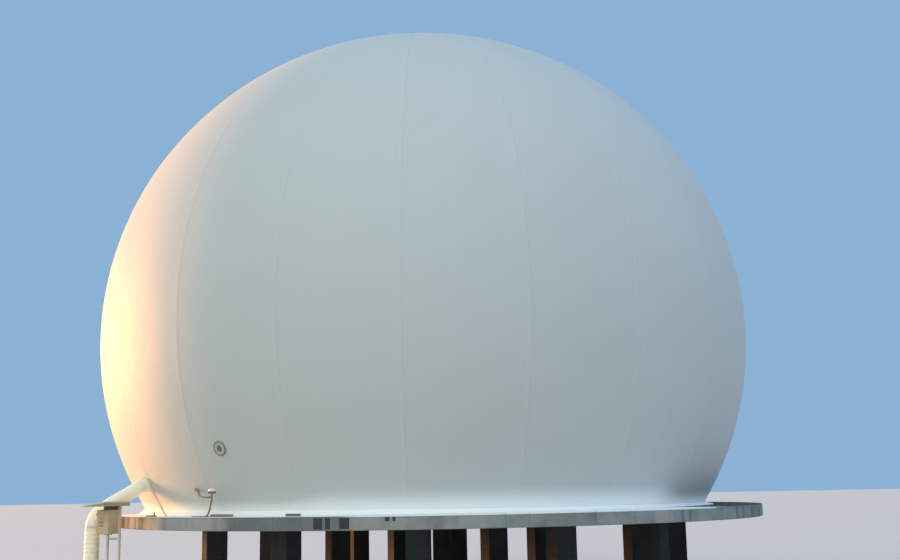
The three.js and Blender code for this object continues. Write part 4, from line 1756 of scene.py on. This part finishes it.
@dataclass
class Cabinet(Assembly):
    """The steel control cabinet on posts, under a rain roof."""

    x: float = -6.694
    y: float = -4.2
    turn: float = -22.5
    width: float = 0.3
    depth: float = 0.29
    bottom: float = 1.73
    height: float = 0.47
    louvres: tuple[float, ...] = (2.049, 1.98, 1.916)
    posts: tuple[float, float] = (-0.11, 0.17)
    louvre_x: float = -0.03
    roof_width: float = 0.5
    roof_front: float = -0.445
    roof_back: float = 0.375
    roof_low: float = 2.27
    low_edge: float = 0.036
    high_edge: float = 0.095
    sheet: float = 0.003

    @property
    def place(self) -> Matrix:
        """The cabinet's own frame: its door faces -Y."""
        return Matrix.Translation((self.x, self.y, 0)) @ Matrix.Rotation(math.radians(self.turn), 4, "Z")

    def build(self) -> None:
        """Makes the housing, the door with its louvres, the roof and the stand."""
        self.housing()
        self.door()
        self.roof()
        self.stand()

    def housing(self) -> None:
        """Makes the housing and the cable glands under it."""
        form = Form()
        middle = self.bottom + self.height / 2
        form.block((self.width, self.depth, self.height), (0, 0, middle), 0.006, self.place)
        form.made("cabinet_housing", self.palette.pale, Slot.PALE, "control_cabinet")
        glands = Form()
        for k in range(3):
            at = self.place @ Matrix.Translation(((k - 1) * 0.07, 0.03, self.bottom - 0.022))
            glands.turned([(0, 0), (0.012, 0), (0.014, 0.008), (0.014, 0.024), (0, 0.024)], 12, at)
        glands.made("cable_glands", self.palette.rubber, Slot.FRAME)

    def door(self) -> None:
        """Makes the door, its pressed louvres with painted shade under them, the hinges and the lock."""
        form = Form()
        front = -self.depth / 2 - 0.0145
        middle = self.bottom + self.height / 2
        leaf = (self.width - 0.024, 0.014, self.height - 0.024)
        form.block(leaf, (0, front + 0.007, middle), 0.004, self.place)
        for z in self.louvres:
            hood = [(-0.06, 0.0, -0.012), (0.06, 0.0, -0.012), (0.06, 0.0, 0.018), (-0.06, 0.0, 0.018)]
            lip = [(-0.056, -0.012, -0.01), (0.056, -0.012, -0.01)]
            lip += [(0.052, -0.003, 0.014), (-0.052, -0.003, 0.014)]
            at = self.place @ Matrix.Translation((self.louvre_x, front, z))
            form.skin([hood, lip], caps=True, place=at)
        form.made("cabinet_door_leaf", self.palette.pale, Slot.PALE, "cabinet_door")
        # Dark strips under the louvre hoods: painted shade in the openings.
        louvre_shade_strips = Form()
        for z, height in zip(self.louvres, (0.012, 0.022, 0.022)):
            louvre_shade_strips.block((0.11, 0.004, height), (self.louvre_x, front - 0.0005, z - 0.025), 0.0015, self.place)
        louvre_shade_strips.made("louvre_painted_shade", self.palette.slot, Slot.FRAME)
        fittings = Form()
        for z in (self.bottom + 0.08, self.bottom + self.height - 0.08):
            at = self.place @ Matrix.Translation((-self.width / 2 + 0.006, front - 0.004, z - 0.025))
            fittings.ring(0, 0.007, 0, 0.05, 12, at)
        at = self.place @ Matrix.Translation((self.width / 2 - 0.035, front, middle + 0.05))
        at = at @ Matrix.Rotation(math.pi / 2, 4, "X")
        fittings.turned([(0, 0), (0.014, 0), (0.014, 0.008), (0.011, 0.012), (0, 0.012)], 20, at)
        fittings.block((0.006, 0.018, 0.006), (0, 0, 0.012), 0.001, at)
        fittings.made("door_fittings", self.palette.pale, Slot.PALE)

    def roof(self) -> None:
        """Makes the sloping rain roof with turned-down edges, pale strips along its front and right edges
        that are painted sunlight, its bearers, and a dark block under it that is painted shade.
        """
        form = Form()
        half, t = self.roof_width / 2, self.sheet
        lip = self.roof_low
        low, high = lip + self.low_edge, lip + self.high_edge
        over = [(-half, lip), (-half, low), (half, high), (half, lip)]
        under = [(half - t, lip), (half - t, high - t), (t - half, low - t), (t - half, lip)]
        rings = [[(x, y, z) for x, z in over + under] for y in (self.roof_front, self.roof_back)]
        form.skin(rings, caps=True, place=self.place)
        end = [(t - half, lip), (half - t, lip), (half - t, high - t), (t - half, low - t)]
        for y in (self.roof_front + t / 2, self.roof_back - t / 2):
            faces = [[(x, y + s * t / 2, z) for x, z in end] for s in (-1, 1)]
            form.skin(faces, caps=True, place=self.place)
        form.made("roof_sheet", self.palette.roof, Slot.DARK, "rain_roof")
        slope = math.atan2(high - low, self.roof_width)
        # Pale strips along the roof's front and right edges: painted sunlight on the faces the light falls
        # on.
        painted_sunlit_strips = Form()
        front = Matrix.Translation((0, self.roof_front, (low + high) / 2))
        front = front @ Matrix.Rotation(-slope, 4, "Y")
        painted_sunlit_strips.block((self.roof_width, 0.006, 0.03), (0, -0.001, -0.013), 0.001, self.place @ front)
        long, middle = self.roof_back - self.roof_front - 0.04, (self.roof_front + self.roof_back) / 2
        painted_sunlit_strips.block((0.004, long + 0.036, 0.026), (half, middle, high - 0.014), 0.001, self.place)
        painted_sunlit_strips.made("roof_painted_sunlit_strips", self.palette.painted_sunlit_strips, Slot.DARK)
        brackets = Form()
        for x in (-0.17, 0.17):
            brackets.block((0.03, long, 0.03), (x, middle, lip + 0.018), 0.003, self.place)
        top = self.bottom + self.height
        brackets.made("roof_bearers", self.palette.pale, Slot.PALE)
        # A dark block between the cabinet's top and the roof: painted shade under the roof.
        shade_block = Form()
        size = (0.14, self.depth - 0.004, lip - top + 0.004)
        shade_block.block(size, (0.078, 0, (lip + top) / 2), 0.003, self.place)
        shade_block.made("roof_painted_shade", self.palette.dark, Slot.DARK)

    def stand(self) -> None:
        """Finishes the posts and the rail, and adds the anchors and the rail's bolts."""
        for node in ("cabinet_post_left", "cabinet_post_right", "cabinet_rail"):
            carry(node, self.palette.post, Slot.PALE, 0.003)
        form = Form()
        post_y = self.depth / 2 + 0.02
        for post_x in self.posts:
            for dx, dy in ((-0.04, -0.04), (0.04, -0.04), (-0.04, 0.04), (0.04, 0.04)):
                at = Matrix.Translation((post_x + dx, post_y + dy, 0.012))
                form.hexagon(0.018, 0.01, self.place @ at)
            for z in (self.bottom + 0.06, self.bottom + self.height - 0.06):
                face = self.place @ Matrix.Translation((post_x, post_y + 0.02, z))
                form.hexagon(0.016, 0.008, face @ Matrix.Rotation(-math.pi / 2, 4, "X"))
        form.made("stand_bolts", self.palette.bolt, Slot.ZINC)


@dataclass
class EdgeFittings(Assembly):
    """Small pipes and bars at the deck's left front edge."""

    stem: tuple[tuple[float, float], ...] = ((-4.499, 0.0), (-4.455, 0.09), (-4.412, 0.3), (-4.401, 0.45))
    stem_y: float = -5.5
    stem_radius: float = 0.017
    tee_half: float = 0.07
    nozzle_radius: float = 0.024
    tap_radius: float = 0.013
    stay_radius: float = 0.02
    bar_circle: float = 7.22
    channel_width: float = 0.04
    channel_web: float = 0.005
    channel_cut: float = 0.03
    conduit_radius: float = 0.008
    conduit: tuple[float, float] = (-41.56, -37.6)
    bracket: tuple[float, float] = (-55.48, -51.92)

    def build(self) -> None:
        """Makes the vent pipe, the tap line, the stay, the two channels and what lies beside them."""
        self.vent()
        self.tap()
        self.stay()
        self.bars()
        for node in ("edge_channel_long", "edge_channel_short"):
            self.channel(node)

    def vent(self) -> None:
        """Makes the vent pipe with its flange, its capped tee and its pale hood."""
        form = Form()
        line = spline([Vector((x, self.stem_y, DECK_TOP + h)) for x, h in self.stem], 8)
        form.tube(line, lambda run: self.stem_radius, 20)
        top = line[-1]
        half = self.tee_half
        steps = (-half, 0.01 - half, 0.012 - half, half - 0.012, half - 0.01, half)
        tee = [top + Vector((dx, 0, 0)) for dx in steps]
        radii = iter((0.021, 0.022, 0.018, 0.018, 0.022, 0.021))
        form.tube(tee, lambda run: next(radii), 20)
        base = Matrix.Translation(line[0])
        form.turned([(0, 0), (0.045, 0), (0.045, 0.008), (0.022, 0.01), (0.02, 0.03), (0, 0.03)], 24, base)
        for spot in circle_places(4, 0.035, 0.008, math.pi / 4):
            form.hexagon(0.012, 0.006, base @ spot)
        form.made("vent_riser", self.palette.pipe, Slot.DARK, "vent_pipe")
        hood = Form()
        place = Matrix.Translation(top)
        brim = half - 0.001
        dome = [(brim, 0.03), (brim, 0.058), (brim * 0.8, 0.071), (brim * 0.45, 0.0765), (0, 0.078)]
        hood.turned([(0, 0.034), (brim - 0.004, 0.034), (brim - 0.004, 0.03), *dome], 32, place)
        hood.ring(0, 0.012, 0.016, 0.036, 12, place)
        hood.made("vent_hood", self.palette.hood, Slot.PALE)

    def tap(self) -> None:
        """Makes the stout nozzle on the ball and the thin line from it to the vent pipe."""
        held = [
            (-4.84, -4.8, 0.535), (-4.77, -5.02, 0.48), (-4.69, -5.24, 0.405), (-4.605, -5.4, 0.37),
            (-4.417, -5.495, 0.363),
        ]
        line = spline([Vector((x, y, DECK_TOP + h)) for x, y, h in held], 10)
        form = Form()
        form.tube(line, lambda run: self.tap_radius, 16)
        nozzle = self.nozzle_radius
        form.tube(line[:21], lambda run: nozzle if run < 0.47 else nozzle * 0.82, 20)
        seat = BALL.crossing(line[0], line[12])
        boss = pointed(seat, BALL.outward(seat))
        form.turned([(0, 0), (0.045, 0), (0.045, 0.006), (0.034, 0.009), (0.034, 0.03), (0, 0.03)], 24, boss)
        union = [(0, 0), (0.017, 0), (0.02, 0.004), (0.02, 0.02), (0.017, 0.024), (0, 0.024)]
        for i in (22, 38):
            way = (line[i + 1] - line[i - 1]).normalized()
            form.turned(union, 6, pointed(line[i] - 0.012 * way, way))
        form.made("tap_line", self.palette.pipe, Slot.DARK, "membrane_tap")

    def stay(self) -> None:
        """Makes the stay with its tensioner and its foot plate."""
        start = Vector((-6.078, -3.593, DECK_TOP + 0.704))
        end = Vector((-5.565, -4.082, DECK_TOP + 0.003))
        way = (end - start).normalized()
        head = start + 0.16 * way
        form = Form()
        form.tube([head, end], lambda run: self.stay_radius, 14)
        middle = head.lerp(end, 0.62)
        turnbuckle = [middle + step * way for step in (0.0, 0.02, 0.12, 0.14)]
        form.tube(turnbuckle, lambda run: 0.024 if 0.01 < run < 0.13 else self.stay_radius, 6)
        form.block((0.06, 0.05, 0.01), end + Vector((0, 0, 0.002)), 0.002)
        # Its paint is lightened as painted sunlight.
        form.made("stay_rod", self.palette.stay_painted_sunlit, Slot.DARK, "inlet_stay")

    def on_edge(self, heading: float, height: float) -> Vector:
        """A point above the deck's edge at a heading in degrees."""
        return Vector(round_at(math.radians(heading), self.bar_circle, DECK_TOP + height))

    def bars(self) -> None:
        """Makes the thin conduit before the long channel, the post at its end and the small bracket."""
        form = Form()
        start, end = self.conduit
        line = [self.on_edge(heading, 0.009) for heading in stepped(start, end - start, 6)]
        form.tube(line, lambda run: self.conduit_radius, 12)
        start, end = self.bracket
        steps = [self.on_edge(heading, 0.0) for heading in stepped(start, end - start, 6)]
        rings: list[Ring] = []
        for point in steps:
            aside = Vector((point.x, point.y, 0.0)).normalized() * 0.012
            corners = ((-1, 0.0), (1, 0.0), (1, 0.028), (-1, 0.028))
            rings.append([(*(point + side * aside).xy, point.z + z) for side, z in corners])
        form.skin(rings, caps=True)
        form.block((0.02, 0.02, 0.06), steps[5] + Vector((0, 0, 0.055)), 0.002)
        form.made("edge_bracket", self.palette.dark, Slot.DARK)
        post = Form()
        channel_end = Vector((-3.9, -6.065, DECK_TOP))
        post.block((0.027, 0.03, 0.126), channel_end + Vector((0, 0, 0.0635)), 0.003)
        post.made("edge_post", self.palette.hood, Slot.PALE)

    def channel(self, node: str) -> None:
        """Makes one rolled channel lying on the deck's edge.

        Args:
            node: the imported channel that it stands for.
        """
        low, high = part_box(node)
        centre = (low + high) / 2
        span = high - low
        tilt = math.atan2(-span.y, span.x)
        length = math.hypot(span.x, span.y) - self.channel_cut
        place = Matrix.Translation((centre.x, centre.y, low.z)) @ Matrix.Rotation(tilt, 4, "Z")
        form = Form()
        t, half, h = self.channel_web, self.channel_width / 2, high.z - low.z
        section = [(-half, 0), (half, 0), (half, t), (t - half, t)]
        section += [(t - half, h - t), (half, h - t), (half, h), (-half, h)]
        ends = [[(x, y, z) for y, z in section] for x in (-length / 2, length / 2)]
        form.skin(ends, caps=True, place=place)
        form.made(node + "_rolled", self.palette.bar, Slot.ZINC, node)


@dataclass(frozen=True)
class Lamp:
    """A far soft light: the way towards it, its colour and strength, and how wide it looks in degrees."""

    name: str
    source: Point
    colour: Colour
    strength: float
    softness: float

    def build(self) -> None:
        """Makes the light."""
        data = bpy.data.lights.new(self.name, "SUN")
        data.energy = self.strength
        data.color = self.colour
        data.angle = math.radians(self.softness)
        lamp = bpy.data.objects.new(self.name, data)
        lamp.rotation_mode = "QUATERNION"
        lamp.rotation_quaternion = Vector(self.source).to_track_quat("Z", "Y")
        bpy.context.scene.collection.objects.link(lamp)


@dataclass
class Studio:
    """Camera, plain pale floor and plain soft light."""

    eye: Point = (-0.34, -28.0, 2.4634)
    yaw: float = 0.0225
    pitch: float = 0.178
    roll: float = 0.0184
    focal_pixels: float = 1167.66
    picture_width: int = 900
    sensor: float = 36.0
    sight: float = 1000.0
    floor_reach: float = 400.0
    floor_drop: float = 0.002
    floor_colour: Colour = (0.68, 0.64, 0.58)
    floor_roughness: float = 0.9
    key: Lamp = Lamp("key", (-0.812, 0.584, 0.06), (1.0, 0.443, 0.146), 7.9, 14.0)
    side: Lamp = Lamp("side", (-0.6, -0.7, 0.2), (1.0, 0.79, 0.02), 0.91, 90.0)
    top: Lamp = Lamp("top", (0.1, -0.5, 0.86), (0.79, 0.84, 1.0), 1.2, 60.0)
    fill: Colour = (0.26, 0.445, 0.665)

    def build(self) -> None:
        """Sets up the camera, the floor and the lights."""
        self.camera()
        self.floor()
        self.lights()
        bpy.context.scene.view_settings.view_transform = "Standard"

    def camera(self) -> None:
        """Makes the camera at the photograph's place and turn."""
        flat = math.cos(self.pitch)
        ahead = Vector((math.sin(self.yaw) * flat, math.cos(self.yaw) * flat, math.sin(self.pitch)))
        right = Vector((math.cos(self.yaw), -math.sin(self.yaw), 0.0))
        down = ahead.cross(right)
        cr, sr = math.cos(self.roll), math.sin(self.roll)
        x = cr * right + sr * down
        y = sr * right - cr * down
        turn = Matrix((x, y, -ahead)).transposed().to_4x4()
        data = bpy.data.cameras.new("camera")
        data.sensor_width = self.sensor
        data.lens = self.focal_pixels / self.picture_width * self.sensor
        data.clip_end = self.sight
        camera = bpy.data.objects.new("camera", data)
        camera.matrix_world = Matrix.Translation(self.eye) @ turn
        bpy.context.scene.collection.objects.link(camera)
        bpy.context.scene.camera = camera

    def floor(self) -> None:
        """Makes the plain pale floor."""
        mesh = bpy.data.meshes.new("floor")
        reach = self.floor_reach
        corners = [(-reach, -reach, 0), (reach, -reach, 0), (reach, reach, 0), (-reach, reach, 0)]
        mesh.from_pydata(corners, [], [(0, 1, 2, 3)])
        plain = Graph("floor").finish(Base_Color=self.floor_colour, Roughness=self.floor_roughness)
        mesh.materials.append(plain)
        floor = bpy.data.objects.new("floor", mesh)
        floor.location.z = -self.floor_drop
        bpy.context.scene.collection.objects.link(floor)

    def lights(self) -> None:
        """Makes the warm key from the left and behind, the soft side and top lights, and the cool fill."""
        for lamp in (self.key, self.side, self.top):
            lamp.build()
        world = bpy.data.worlds.new("fill")
        bpy.context.scene.world = world
        world.use_nodes = True
        back = world.node_tree.nodes["Background"]
        back.inputs["Color"].default_value = (*self.fill, 1.0)


def main() -> None:
    """Builds the studio and every sub-assembly."""
    logging.basicConfig(level=logging.INFO, format="%(message)s")
    Studio().build()
    palette = Palette()
    for kind in (Deck, Membranes, Foot, SightWindow, AirDuct, Blower, Cabinet, EdgeFittings):
        kind(palette).build()
        LOG.info("%s done", kind.__name__)


if __name__ == "__main__":
    main()
